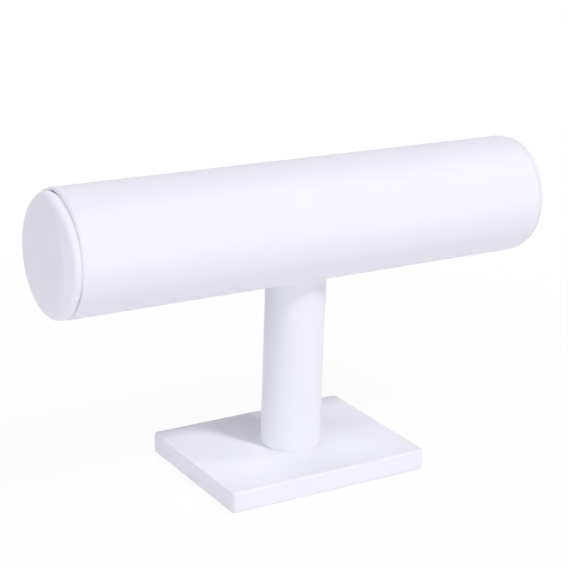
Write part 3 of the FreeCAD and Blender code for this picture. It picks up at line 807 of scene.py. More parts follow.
@dataclass(frozen=True)
class Handwork:
    """One end's marks, and the shade painted into the seam between its cap and the bar.

    Each span below is where an effect comes in, in millimetres: ALONG out of the seam, OUT from
    the rim's radius.
    """

    RIM_SHARES = (0.5, 0.9)
    BACK_OUT = (-1.8, -0.6)
    BACK_ALONG = (0.3, 2.8)
    FACE_OUT = (-8.0, -2.0)
    FACE_MARGIN = 1.0
    SEAM_OUT = (-4.0, -2.5)
    SEAM_START = 0.4
    ROLL_ALONG = (-8.0, 0.0)
    ROLL_OUT = (-3.0, -1.0)
    MOUTH_ALONG = (-0.9, -0.2)
    MOUTH_OUT = (-1.6, -0.8)

    marks: tuple[Mark, ...]
    # Painted shade: how much the whole seam is painted darker, and how far along the cap, in millimetres, it
    # reaches.
    shade: float = 0.0
    reach: float = 0.6
    puckers: int = 44

    def total(self, quality: str, angles: np.ndarray) -> np.ndarray:
        """One quality of all the marks at each angle."""
        return sum(getattr(mark, quality) * mark.share(angles) for mark in self.marks)

    def paint_seam_shade(self, mesh: bpy.types.Mesh, angles: np.ndarray, near: np.ndarray) -> None:
        """Adds the seam's painted shade to what the mesh has.

        Args:
            mesh: The piece's mesh.
            angles: Each vertex's angle round the seam.
            near: How much of the painted shade each vertex takes, 0 to 1.
        """
        layer = mesh.attributes.get("shade") or mesh.attributes.new("shade", "FLOAT", "POINT")
        before = np.empty(len(near))
        layer.data.foreach_get("value", before)
        after = before + (self.shade + self.total("painted_gap_shade", angles)) * near
        layer.data.foreach_set("value", np.clip(after, 0.0, 1.0))

    def fit_cap(self, mesh: bpy.types.Mesh, rim: Rim, depth: float) -> None:
        """Pulls a cap's covering out of true and paints shade into its seam.

        Args:
            mesh: The covering's mesh.
            rim: The cap's rim.
            depth: The cap's depth.
        """
        along, out, angles = rim.read(mesh)
        inside = out - rim.radius
        back = eased(inside, *self.BACK_OUT) * (1 - eased(along, *self.BACK_ALONG))
        face = eased(inside, *self.FACE_OUT) * eased(along, self.FACE_MARGIN, depth - self.FACE_MARGIN)
        pucker = self.total("pucker", angles) * np.sin(np.radians(angles) * self.puckers) * back
        grown = out + self.total("out", angles) * eased(out / rim.radius, *self.RIM_SHARES) + pucker
        moved = along + self.total("lift", angles) * back - self.total("press", angles) * face + pucker
        rim.write(mesh, moved, grown, angles)
        # Painted shade: the cap darker close to the seam, fading out along the cap.
        beyond = eased(along, self.SEAM_START * self.reach, self.reach)
        self.paint_seam_shade(mesh, angles, (1 - beyond) * eased(inside, *self.SEAM_OUT))

    def fit_sleeve(self, mesh: bpy.types.Mesh, rim: Rim) -> None:
        """Draws in the rolled end of the bar's sleeve and paints shade on it under a cap's rim.

        Args:
            mesh: The sleeve's mesh.
            rim: The sleeve's rim.
        """
        along, out, angles = rim.read(mesh)
        inside = out - rim.radius
        end = eased(along, *self.ROLL_ALONG) * eased(inside, *self.ROLL_OUT)
        rim.write(mesh, along, out - self.total("roll", angles) * end, angles)
        # Painted shade on the sleeve's end, in the mouth of the seam.
        mouth = eased(along, *self.MOUTH_ALONG) * (1 - eased(inside, *self.MOUTH_OUT))
        self.paint_seam_shade(mesh, angles, mouth)


# Each end's marks; where a mark has a gap shade, shade is painted into the seam there.
LEFT_HAND = Handwork(
    marks=(
        Mark(82.0, 38.0, out=1.55),
        Mark(84.0, 20.0, lift=0.6),
        Mark(85.0, 15.0, painted_gap_shade=0.95),
        Mark(270.0, 85.0, out=0.45),
        Mark(170.0, 80.0, press=0.9),
        Mark(30.0, 100.0, press=-0.4),
        Mark(308.0, 80.0, press=-0.4),
        Mark(216.0, 30.0, pucker=0.4, painted_gap_shade=0.4),
    ),
)
RIGHT_HAND = Handwork(
    marks=(
        Mark(205.0, 75.0, out=-0.1, press=0.3, painted_gap_shade=0.08),
        Mark(222.0, 6.0, painted_gap_shade=0.5),
        Mark(237.0, 5.0, painted_gap_shade=0.6),
        Mark(250.0, 55.0, roll=0.2),
    ),
    # Painted shade along the whole of this end's seam, and how far along the cap it reaches.
    shade=0.07,
    reach=2.8,
)


@dataclass
class BarSleeve:
    """The bar's leatherette: one sleeve, rolled over both ends of its tube and turned in."""

    turning: TurnedSheetTree
    tabs: TabRingTree
    material: bpy.types.Material
    lap_angle: float = 52.0
    lap_width: float = 8.0
    left_fold: float = 1.5
    right_fold: float = 1.8
    lip: float = 0.4
    segments: int = 640
    long_steps: int = 90
    seed: float = 3.0
    wave_depth: float = 0.05
    wave_size: float = 22.0

    def build(self) -> bpy.types.Object:
        """Builds the sleeve over the bar's tube.

        Returns:
            The finished piece.
        """
        middle, size = extent("bar_cover")
        tube_end = extent("bar_tube")[1].x / 2
        radius = size.z / 2
        bore = radius - GAUGE.skin - GAUGE.tube_wall
        obj = self.turning.turn(
            "bar_sleeve", self.outline(size.x / 2, tube_end, radius, bore), self.material,
            segments=self.segments, seed=self.seed, lap_angle=math.radians(self.lap_angle),
            lap_width=self.lap_width, lap_ramp=GAUGE.lap_ramp, lap_step=GAUGE.lap_step,
            wave_size=self.wave_size, wave_depth=self.wave_depth,
        )
        for end in (-1, 1):
            self.tabs.apply_to(
                obj, tabs=GAUGE.tube_tabs, material=self.material, notch_width=GAUGE.notch_width,
                root_along=end * (tube_end - GAUGE.notch_root), root_radius=bore - GAUGE.skin,
                tip_along=end * (tube_end - GAUGE.tube_turn_in), tip_radius=bore - GAUGE.skin,
                thick_along=0.0, thick_out=GAUGE.skin,
            )
        baked(obj, middle * MM)
        for outward, hand in ((-1, LEFT_HAND), (1, RIGHT_HAND)):
            seam = Vector((middle.x + outward * size.x / 2, middle.y, middle.z)) * MM
            hand.fit_sleeve(obj.data, Rim(seam, outward, radius))
        return obj

    def cut(self) -> Cut:
        """The sheet that the sleeve was cut from.

        Returns:
            A piece that goes once round the tube and laps, and is turned in at both ends.
        """
        size = extent("bar_cover")[1]
        width = math.pi * (size.z - GAUGE.skin) + self.lap_width
        length = size.x + 2 * (GAUGE.tube_wall + GAUGE.tube_turn_in)
        return Cut(width, length, width * length)

    def outline(self, end: float, tube_end: float, radius: float, bore: float) -> Profile:
        """The section of the folded sheet, round from the outside to the glued side.

        Args:
            end: The sleeve's end, along the bar from its middle.
            tube_end: The tube's end.
            radius: The sleeve's outside radius.
            bore: The tube's inside radius.

        Returns:
            The outline.
        """
        left, right, lip = self.left_fold, self.right_fold, self.lip
        inner = bore - GAUGE.skin
        outside = radius - GAUGE.skin
        notch = tube_end - GAUGE.notch_root
        profile = Profile()
        profile.point(left - end, radius, lap=1.0, wave=1.0)
        profile.line(end - right, radius, self.long_steps, lap=1.0, wave=1.0)
        profile.arc((end - right, radius - right), right, 90, 0, 8)
        profile.line(end, inner + lip, 3)
        profile.arc((end - lip, inner + lip), lip, 0, -90, 4)
        profile.line(notch, inner, 3)
        glued = ((notch, bore, 1), (tube_end, bore, 2), (tube_end, outside, 2), (-tube_end, outside, 4))
        for along, out, count in (*glued, (-tube_end, bore, 2), (-notch, bore, 2)):
            profile.line(along, out, count, backing=1.0)
        profile.line(-notch, inner, 1)
        profile.line(lip - end, inner, 3)
        profile.arc((lip - end, inner + lip), lip, -90, -180, 4)
        profile.line(-end, radius - left, 3)
        profile.arc((left - end, radius - left), left, 180, 99, 8)
        profile.point(left - end, radius, lap=1.0, wave=1.0)
        return profile


@dataclass
class Pillow:
    """The padded section of an end cap: straight side, tight edge, soft shoulder, flat middle.

    The flat middle ends at flat, the shoulder is an arc of radius reach that turns through the
    angle lean, in degrees, and the edge turns about the point bend.
    """

    depth: float
    radius: float
    edge: float
    fall: float
    shoulder: float
    reach: float = field(init=False)
    lean: float = field(init=False)
    bend: tuple[float, float] = field(init=False)
    flat: float = field(init=False)

    def __post_init__(self) -> None:
        """Works out the two arcs, which meet without a corner."""
        self.reach = (self.shoulder**2 + self.fall**2) / (2 * self.fall)
        lean = math.asin(self.shoulder / self.reach)
        self.lean = math.degrees(lean)
        inner, bend_height = self.reach - self.edge, self.radius - self.edge
        self.bend = (self.depth - self.reach + inner * math.cos(lean), bend_height)
        self.flat = bend_height - inner * math.sin(lean)

    def add_to(self, profile: Profile, under: float, inward: bool, **shares: float) -> None:
        """Adds the run between the middle of the face and the start of the side.

        Args:
            profile: The outline that it goes into.
            under: The distance under the cap's outside.
            inward: Whether the run goes from the side to the middle.
            shares: The shares of its points.
        """
        centre = (self.depth - self.reach, self.flat)
        if inward:
            profile.line(self.bend[0], self.radius - under, 1, **shares)
            profile.arc(self.bend, self.edge - under, 90, self.lean, 8, **shares)
            profile.arc(centre, self.reach - under, self.lean, 0, 12, **shares)
            profile.line(self.depth - under, 0.0, 12, **shares)
            return
        profile.point(self.depth - under, 0.0, **shares)
        profile.line(self.depth - under, self.flat, 12, **shares)
        profile.arc(centre, self.reach - under, 0, self.lean, 12, **shares)
        profile.arc(self.bend, self.edge - under, self.lean, 90, 8, **shares)


@dataclass
class EndCap:
    """One end cap's leatherette and foam, modelled with the face towards +X."""

    turning: TurnedSheetTree
    tabs: TabRingTree
    leather: bpy.types.Material
    foam: bpy.types.Material
    side: str
    seed: float
    hand: Handwork
    edge: float
    fall: float = 1.5
    shoulder: float = 9.0
    back: float = 0.3
    turn_in: float = 9.0
    tab_count: int = 18
    segments: int = 720
    foam_segments: int = 180
    side_steps: int = 8
    pleats: int = 76
    pleat_depth: float = 0.16
    wave_depth: float = 0.03
    wave_size: float = 14.0

    def build(self) -> list[bpy.types.Object]:
        """Builds the cap's two soft pieces.

        Returns:
            The cover and the foam.
        """
        middle, size = extent(f"{self.side}_cap_cover")
        outward, turn = (-1, math.pi) if self.side == "left" else (1, 0.0)
        seam = Vector((middle.x - outward * size.x / 2, middle.y, middle.z)) * MM
        rim = Rim(seam, outward, size.z / 2)
        section = Pillow(size.x, rim.radius, self.edge, self.fall, self.shoulder)
        cover = self.turning.turn(
            f"{self.side}_cap_leather", self.cover_outline(section), self.leather,
            segments=self.segments, seed=self.seed, pleats=self.pleats, pleat_depth=self.pleat_depth,
            wave_size=self.wave_size, wave_depth=self.wave_depth,
        )
        self.tabs.apply_to(
            cover, tabs=self.tab_count, material=self.leather, notch_width=GAUGE.notch_width,
            root_along=0.0, root_radius=rim.radius - GAUGE.notch_root,
            tip_along=0.0, tip_radius=rim.radius - self.turn_in,
            thick_along=GAUGE.skin, thick_out=0.0,
        )
        foam = self.turning.turn(
            f"{self.side}_cap_foam", self.foam_outline(section), self.foam,
            segments=self.foam_segments, seed=self.seed + 1,
        )
        for piece in (cover, foam):
            baked(piece, seam, turn)
            self.hand.fit_cap(piece.data, rim, size.x)
        return [cover, foam]

    def cut(self) -> Cut:
        """The sheet that the cap's cover was cut from.

        Returns:
            A round piece as wide as the face, both sides and both turned edges.
        """
        size = extent(f"{self.side}_cap_cover")[1]
        across = size.z + 2 * (size.x + self.turn_in - self.edge * (2 - math.pi / 2))
        return Cut(across, across, math.pi * across**2 / 4)

    def cover_outline(self, section: Pillow) -> Profile:
        """The section of the cap's leatherette, from the middle of its face round to the foam.

        Args:
            section: The cap's padded section.

        Returns:
            The outline.
        """
        skin, radius, back = GAUGE.skin, section.radius, self.back
        root = radius - GAUGE.notch_root
        profile = Profile()
        section.add_to(profile, 0.0, False, wave=1.0)
        along, out = profile.spots[-1]
        for share in steps(self.side_steps):
            spot = (along + (back - along) * share, out + (radius - out) * share)
            profile.point(*spot, wave=1.0, pleat=share**2)
        profile.arc((back, radius - back), back, 90, 180, 5, pleat=1.0)
        profile.line(0.0, root, 2)
        profile.line(skin, root, 1, backing=1.0)
        profile.line(skin, radius - skin, 2, backing=1.0)
        section.add_to(profile, skin, True, backing=1.0)
        return profile

    def foam_outline(self, section: Pillow) -> Profile:
        """The section of the foam under the cover, round the edge of the board.

        Args:
            section: The cap's padded section.

        Returns:
            The outline.
        """
        skin = GAUGE.skin
        board = extent(f"{self.side}_cap_board")[1]
        profile = Profile()
        section.add_to(profile, skin, False)
        profile.line(skin, section.radius - skin, 2)
        profile.line(skin, board.z / 2, 1)
        profile.line(skin + board.x, board.z / 2, 1)
        profile.line(skin + board.x, 0.0, 4)
        return profile


@dataclass
class PostWrap:
    """The post's leatherette: folded under its tube's foot, lapped up the back."""

    turning: TurnedSheetTree
    material: bpy.types.Material
    tube_wall: float = 2.0
    foot_fold: float = 0.45
    lap_width: float = 7.0
    segments: int = 480
    long_steps: int = 40
    seed: float = 8.0
    wave_depth: float = 0.04
    wave_size: float = 16.0

    def build(self) -> bpy.types.Object:
        """Builds the wrap from the base up to the round of the bar.

        Returns:
            The finished piece.
        """
        radius = extent("post_cover")[1].x / 2
        foot = heights("post_cover")[0]
        bar_middle, bar_size = extent("bar_cover")
        top = bar_middle.z
        skin, fold = GAUGE.skin, self.foot_fold
        bore = radius - skin - self.tube_wall
        profile = Profile()
        profile.point(foot, bore)
        profile.line(foot, radius - fold, 3)
        profile.arc((foot + fold, radius - fold), fold, 180, 90, 8)
        profile.line(top - bar_size.z / 2 - fold, radius, self.long_steps, lap=1.0, wave=1.0)
        profile.line(top, radius, 1, lap=1.0)
        profile.line(top, radius - skin, 1, backing=1.0)
        profile.line(foot + skin, radius - skin, 4, backing=1.0)
        profile.line(foot + skin, bore, 2, backing=1.0)
        profile.line(foot, bore, 1, backing=1.0)
        obj = self.turning.turn(
            "post_wrap", profile, self.material,
            segments=self.segments, seed=self.seed, upright=Axis.UPRIGHT.value,
            lap_width=self.lap_width, lap_ramp=GAUGE.lap_ramp, lap_step=GAUGE.lap_step,
            seat_radius=bar_size.z / 2, seat_height=top,
            wave_size=self.wave_size, wave_depth=self.wave_depth,
        )
        return baked(obj)

    def cut(self) -> Cut:
        """The sheet that the wrap was cut from.

        Returns:
            A piece that goes once round and laps, its top cut to the round of the bar.
        """
        low, high = heights("post_cover")
        width = math.pi * (extent("post_cover")[1].x - GAUGE.skin) + self.lap_width
        length = high - low + self.tube_wall
        lowest = heights("bar_cover")[0]
        return Cut(width, length, width * (length - (high - lowest) / 2))


@dataclass
class Ring:
    """One ring of a rounded rectangle: how far in it is, its height and its corners."""

    inset: float
    height: float
    corner: float
    wave: float = 0.0
    slit: float = 0.0
    backing: float = 0.0
    # Painted shade at the top of a corner slit, as a share.
    pit_shade: float = 0.0


@dataclass(frozen=True)
class Column:
    """A place once round a rectangle: on a straight side, or in a corner.

    The signs are its quarter's. Its share runs from the middle of its side to the corner. Its
    angle is 0 on the sides that look along X and 90 on those that look along Y.
    """

    x_sign: int
    y_sign: int
    share: float
    angle: float
    in_corner: bool = False


@dataclass
class RectangleSkin:
    """Rings of a rounded rectangle joined into one closed skin, in millimetres."""

    MERGE = 1e-7
    QUARTERS = ((1, 1), (-1, 1), (-1, -1), (1, -1))
    CORNER_CROWDING = 1.7
    LEAST_CORNER = 0.5
    SLIT_FADE = (0.5, 2)
    EDGE_FADE = (2.2, 4)

    middle: Vector
    width: float
    depth: float
    slit_width: float = 0.0
    slit_depth: float = 0.0
    long_columns: int = 70
    short_columns: int = 50
    corner_columns: int = 28
    rings: list[Ring] = field(default_factory=list)

    def columns(self) -> list[Column]:
        """The columns once round, a quarter at a time.

        Returns:
            The columns, in order.
        """
        found = []
        for number, signs in enumerate(self.QUARTERS):
            halves = (self.short_columns // 2, self.long_columns // 2)
            ends = (0.0, 90.0)
            if number % 2:
                halves, ends = halves[::-1], ends[::-1]
            for step in range(halves[0]):
                found.append(Column(*signs, step / halves[0], ends[0]))
            for angle in self.corner_angles():
                found.append(Column(*signs, 1.0, 90.0 - angle if number % 2 else angle, True))
            for step in range(halves[1]):
                found.append(Column(*signs, 1 - (step + 1) / halves[1], ends[1]))
        return found

    def corner_angles(self) -> list[float]:
        """Angles through one corner, closest together about its middle.

        Returns:
            The angles, 0 to 90 degrees.
        """
        angles = []
        for step in steps(self.corner_columns, 0):
            share = 2 * step - 1
            angles.append(45 + 45 * math.copysign(abs(share) ** self.CORNER_CROWDING, share))
        return angles

    def mesh(self, name: str, wave_depth: float, wave_size: float, seed: float) -> bpy.types.Mesh:
        """Joins the rings into a mesh.

        Args:
            name: The mesh's name.
            wave_depth: How uneven the wave share makes the skin.
            wave_size: The length of its waves.
            seed: Which unevenness it is.

        Returns:
            The closed mesh.
        """
        columns = self.columns()
        grid = [(ring, column) for ring in self.rings for column in columns]
        places = np.array([self.spot(ring, column) for ring, column in grid])
        waves = np.array([ring.wave for ring, _ in grid])
        places[:, 2] += wave_depth * waves * soft_waves(places / wave_size + seed)
        count = len(columns)
        faces = []
        for start in range(0, len(grid) - count, count):
            for column in range(count):
                after = (column + 1) % count
                faces.append((start + column, start + after, start + count + after, start + count + column))
        mesh = bpy.data.meshes.new(name)
        mesh.from_pydata((places * MM).tolist(), [], faces)
        store(mesh, "backing", [ring.backing for ring, _ in grid])
        edges = [ring.slit * self.near(ring, column, *self.EDGE_FADE) for ring, column in grid]
        pit_shades = [ring.pit_shade * self.near(ring, column, *self.SLIT_FADE) for ring, column in grid]
        store(mesh, "raw_edge", edges)
        # The painted shade at the slits' tops goes into the shade attribute.
        store(mesh, "shade", pit_shades)
        shell = bmesh.new()
        shell.from_mesh(mesh)
        bmesh.ops.remove_doubles(shell, verts=shell.verts, dist=self.MERGE)
        shell.to_mesh(mesh)
        shell.free()
        face_outwards(mesh)
        return mesh

    def spot(self, ring: Ring, column: Column) -> tuple[float, float, float]:
        """Where a ring's point lies in a column.

        Args:
            ring: The ring.
            column: The column.

        Returns:
            The place, in millimetres.
        """
        half_width = self.width / 2 - ring.inset
        half_depth = self.depth / 2 - ring.inset
        corner = min(ring.corner, half_width, half_depth)
        turn = math.radians(column.angle)
        reach = corner - self.slit_depth * ring.slit * self.near(ring, column, *self.SLIT_FADE)
        x = (half_width - corner) * (column.share if column.angle == 90.0 else 1.0) + reach * math.cos(turn)
        y = (half_depth - corner) * (column.share if column.angle == 0.0 else 1.0) + reach * math.sin(turn)
        return self.middle.x + column.x_sign * x, self.middle.y + column.y_sign * y, ring.height

    def near(self, ring: Ring, column: Column, reach: float, power: int) -> float:
        """How near a column is to the slit in its corner.

        Args:
            ring: The ring.
            column: The column.
            reach: How far the nearness reaches, in widths of the slit.
            power: How squarely it falls off.

        Returns:
            1 in the slit's middle, 0 well beside it.
        """
        if not column.in_corner or not self.slit_width:
            return 0.0
        beside = math.radians(abs(column.angle - 45)) * max(ring.corner, self.LEAST_CORNER)
        return math.exp(-((beside / (self.slit_width * reach)) ** power))


def soft_waves(places: np.ndarray) -> np.ndarray:
    """Smooth unevenness from -1 to 1 over places, from a few crossing waves.

    Args:
        places: Points, one to a row, in wavelengths.

    Returns:
        One height to a point.
    """
    total = np.zeros(len(places))
    for height, x, y, shift in ((0.45, 1.0, 0.6, 0.0), (0.3, -0.7, 1.3, 1.7), (0.25, 2.1, -0.4, 0.6)):
        total += height * np.sin(x * TURN * places[:, 0] + y * TURN * places[:, 1] + shift)
    return total


@dataclass
class BaseWrap:
    """The base's leatherette: over the board, down its sides and turned under."""

    TOP_STEPS = 26
    SIDE_STEPS = 6
    ROUND_STEPS = 8
    INSIDE_STEPS = 4
    SLIT_START = (0.3, 0.12, 0.0, -0.12, -0.3, -1.0)
    PIT_HEIGHT = 0.2

    material: bpy.types.Material
    corner: float = 2.1
    edge: float = 0.9
    low_edge: float = 1.7
    under_corner: float = 0.9
    slit_width: float = 0.3
    slit_depth: float = 0.35
    slit_stop: float = 1.6
    # How strong the shade painted at the top of each corner's slit is.
    pit_shade: float = 0.35
    wave_depth: float = 0.05
    wave_size: float = 34.0
    seed: float = 0.37

    def build(self) -> bpy.types.Object:
        """Builds the wrap round the base's board.

        Returns:
            The finished piece.
        """
        middle, size = extent("base_cover")
        skin = RectangleSkin(middle, size.x, size.y, self.slit_width, self.slit_depth)
        skin.rings = self.rings(size.y / 2, *heights("base_cover"))
        mesh = skin.mesh("base_wrap", self.wave_depth, self.wave_size, self.seed)
        mesh.materials.append(self.material)
        return linked("base_wrap", mesh)

    def cut(self) -> Cut:
        """The sheet that the wrap was cut from.

        Returns:
            The top, the sides and the turned edge in one piece, its corners cut away.
        """
        size = extent("base_cover")[1]
        margin = size.z - GAUGE.skin + GAUGE.base_turn_under
        width, length = size.x + 2 * margin, size.y + 2 * margin
        return Cut(width, length, width * length - 4 * margin**2)

    def rings(self, half_depth: float, low: float, high: float) -> list[Ring]:
        """The rings from the middle of the top, over and under, and back inside.

        Args:
            half_depth: Half of the base's depth.
            low: The height of the turned-under sheet.
            high: The height of the base's top.

        Returns:
            The rings, in order.
        """
        skin, edge, foot, corner = GAUGE.skin, self.edge, self.low_edge, self.corner
        turn_under = GAUGE.base_turn_under
        rings = [Ring(half_depth, high, 0.0, 1.0)]
        inner = half_depth - corner
        for share in steps(self.TOP_STEPS, 0):
            rings.append(Ring(inner + (edge - inner) * share, high, corner - edge * share**3, 1.0))
        for share in steps(self.ROUND_STEPS):
            angle = math.radians(90 * share)
            inset = edge * (1 - math.sin(angle))
            rings.append(Ring(inset, high - edge * (1 - math.cos(angle)), corner - inset, 1 - share))
        stop = high - self.slit_stop
        for above in self.SLIT_START:
            # Painted shade just below the slit's top, where the corner's fold leaves a small hole.
            pit_shade = self.pit_shade if -self.PIT_HEIGHT < above <= 0 else 0.0
            rings.append(Ring(0.0, stop + above, corner, slit=1.0 if above <= 0 else 0.0, pit_shade=pit_shade))
        last = stop + self.SLIT_START[-1]
        for share in steps(self.SIDE_STEPS):
            rings.append(Ring(0.0, last + (low + foot - last) * share, corner, slit=1.0))
        for share in steps(self.ROUND_STEPS):
            angle = math.radians(90 * share)
            inset = foot * (1 - math.cos(angle))
            rings.append(Ring(inset, low + foot * (1 - math.sin(angle)), corner - inset, slit=1.0))
        for share in steps(self.ROUND_STEPS):
            rings.append(Ring(foot + (turn_under - foot) * share, low, self.under_corner, slit=1.0))
        rings.append(Ring(turn_under, low + skin, self.under_corner, backing=1.0))
        rings.append(Ring(skin, low + skin, corner - skin, backing=1.0))
        for share in steps(self.INSIDE_STEPS, 0):
            rings.append(Ring(skin + (inner - skin) * share, high - skin, corner - skin, backing=1.0))
        rings.append(Ring(half_depth, high - skin, 0.0, backing=1.0))
        return rings


@dataclass
class BaseLining:
    """The cloth glued under the base, its middle pressed up into the turned edge's window."""

    MIDDLE_STEPS = 12
    BORDER_STEPS = 8

    material: bpy.types.Material
    thickness: float = 0.3
    corner: float = 3.0
    window_corner: float = 1.5
    middle_inset: float = 2.0
    soft: float = 0.18
    wave_depth: float = 0.05
    wave_size: float = 9.0
    seed: float = 2.1

    def build(self) -> bpy.types.Object:
        """Builds the lining.

        Returns:
            The finished piece.
        """
        middle, size = extent("base_lining")
        window = GAUGE.base_turn_under - (extent("base_cover")[1].x - size.x) / 2
        skin = RectangleSkin(middle, size.x, size.y, long_columns=90, short_columns=64, corner_columns=12)
        skin.rings = self.rings(size.y / 2, window, *heights("base_lining"))
        mesh = skin.mesh("base_lining_cloth", self.wave_depth, self.wave_size, self.seed)
        mesh.materials.append(self.material)
        return linked("base_lining_cloth", mesh)

    def rings(self, half_depth: float, window: float, low: float, high: float) -> list[Ring]:
        """The rings from the middle of the underside, out, over and back to the middle.

        Args:
            half_depth: Half of the lining's depth.
            window: How far in the window of the turned-under sheet starts.
            low: The height of the glued border's underside.
            high: The height of the middle's top.

        Returns:
            The rings, in order.
        """
        soft, corner, bend = self.soft, self.corner, self.window_corner
        rise = high - low - self.thickness
        inner, outer = half_depth - self.middle_inset, window + self.middle_inset
        rings = [Ring(half_depth, low + rise, 0.0, 1.0)]
        for share in steps(self.MIDDLE_STEPS, 0):
            rings.append(Ring(inner + (outer - inner) * share, low + rise, bend, 1.0))
        rings.append(Ring(window + 1.0, low + rise, 1.0))
        rings.append(Ring(window + 0.6, low + rise * 0.5, 1.2))
        rings.append(Ring(window + 0.2, low + soft * 0.3, 1.4))
        for share in steps(self.BORDER_STEPS):
            rings.append(Ring(window - (window - soft) * share, low, bend + (corner - bend) * share))
        rings.append(Ring(soft * 0.3, low + soft * 0.4, corner))
        rings.append(Ring(0.0, low + soft, corner))
        rings.append(Ring(0.0, low + self.thickness, corner))
        rings.append(Ring(window, low + self.thickness, bend))
        rings.append(Ring(window, high, bend))
        rings.append(Ring(inner, high, bend))
        rings.append(Ring(half_depth, high, 0.0))
        return rings


@dataclass
class ScrewThreads:
    """The threads of one joint's two wood screws."""

    tree: ThreadTree
    material: bpy.types.Material
    node: str
    spacing: float = 13.0
    root: float = 1.7
    ridge: float = 0.34
    pitch: float = 1.5
    margin: float = 6.5

    def build(self) -> bpy.types.Object:
        """Winds the threads round the joint's screws.

        Returns:
            The finished piece.
        """
        low, high = heights(self.node)
        rise = high - self.margin - (low + self.margin)
        name = f"{self.node}_threads"
        obj = linked(name, bpy.data.meshes.new(name))
        self.tree.apply_to(
            obj, material=self.material, turns=rise / self.pitch, rise=rise, root_radius=self.root,
            ridge=self.ridge, first_along=-self.spacing / 2, foot=low + self.margin, spacing=self.spacing,
        )
        return baked(obj)


class EffectGroup(Canvas):
    """A shader node group with named inputs and outputs."""

    def __init__(self, name: str, **inputs: float) -> None:
        """Makes an empty group.

        Args:
            name: The group's name.
            inputs: Its value inputs and their defaults.
        """
        super().__init__(bpy.data.node_groups.new(name, "ShaderNodeTree"))
        self.socket("Vector", "INPUT", "Vector")
        for title, value in inputs.items():
            self.socket(title, "INPUT").default_value = value
        self.entry = self.tree.nodes.new("NodeGroupInput").outputs

    def socket(self, name: str, way: str, kind: str = "Float") -> bpy.types.NodeTreeInterfaceSocket:
        """A new input or output of the group."""
        return self.tree.interface.new_socket(name, in_out=way, socket_type=f"NodeSocket{kind}")

    def given(self, name: str) -> Wire:
        """One of the group's inputs."""
        return Wire(self, self.entry[name])

    def give(self, **values: Value) -> None:
        """Makes the group's outputs and feeds them."""
        for name in values:
            self.socket(name, "OUTPUT")
        self.add("NodeGroupOutput", inputs=values)


def pebble_group() -> EffectGroup:
    """Small raised pebbles with creases between: leather grain, and the cells of foam.

    Returns:
        The group, whose outputs are Height and Crease.
    """
    group = EffectGroup("pebbles", Scale=3000.0, Unevenness=0.5)
    place, scale = group.given("Vector"), group.given("Scale")
    inputs = {"Vector": place, "Scale": scale}
    crease = group.wire("ShaderNodeTexVoronoi", {"feature": "DISTANCE_TO_EDGE"}, inputs, "Distance")
    raised = (crease * 4.0).clamped()
    rough = group.noise(place, scale * 0.35, 3.0, 1.0)
    group.give(Height=rough.scaled(group.given("Unevenness"), raised), Crease=1.0 - raised)
    return group


def mottle_group() -> EffectGroup:
    """Broad soft blotches, which any finish has some of.

    Returns:
        The group, whose output Blotch is 0 to 1 about a half.
    """
    group = EffectGroup("mottle", Scale=60.0, Contrast=1.0)
    centred = group.noise(group.given("Vector"), group.given("Scale"), 4.0, 2.0) - 0.5
    group.give(Blotch=centred.scaled(group.given("Contrast"), 0.5).clamped())
    return group


def fibre_group() -> EffectGroup:
    """Short fibres that lie every way: paper, board and cloth.

    Returns:
        The group, whose outputs are Height and Fleck.
    """
    group = EffectGroup("fibres", Scale=900.0, Length=7.0)
    layers = []
    for turn in (0.3, 1.35, 2.4):
        inputs = {"Vector": group.given("Vector"), "Rotation": (turn, turn * 1.7, turn * 0.6)}
        spun = group.wire("ShaderNodeVectorRotate", {"rotation_type": "EULER_XYZ"}, inputs)
        x, y, z = group.parts(spun)
        thin = group.vector(x / group.given("Length"), y, z)
        layers.append(group.noise(thin, group.given("Scale"), 2.0, turn))
    tallest = group.math("MAXIMUM", group.math("MAXIMUM", layers[0], layers[1]), layers[2])
    group.give(Height=tallest, Fleck=tallest.scaled(7.0, -4.6).clamped())
    return group


@dataclass(frozen=True)
class Effects:
    """The shader groups that the finishes share."""

    pebbles: EffectGroup
    mottle: EffectGroup
    fibres: EffectGroup


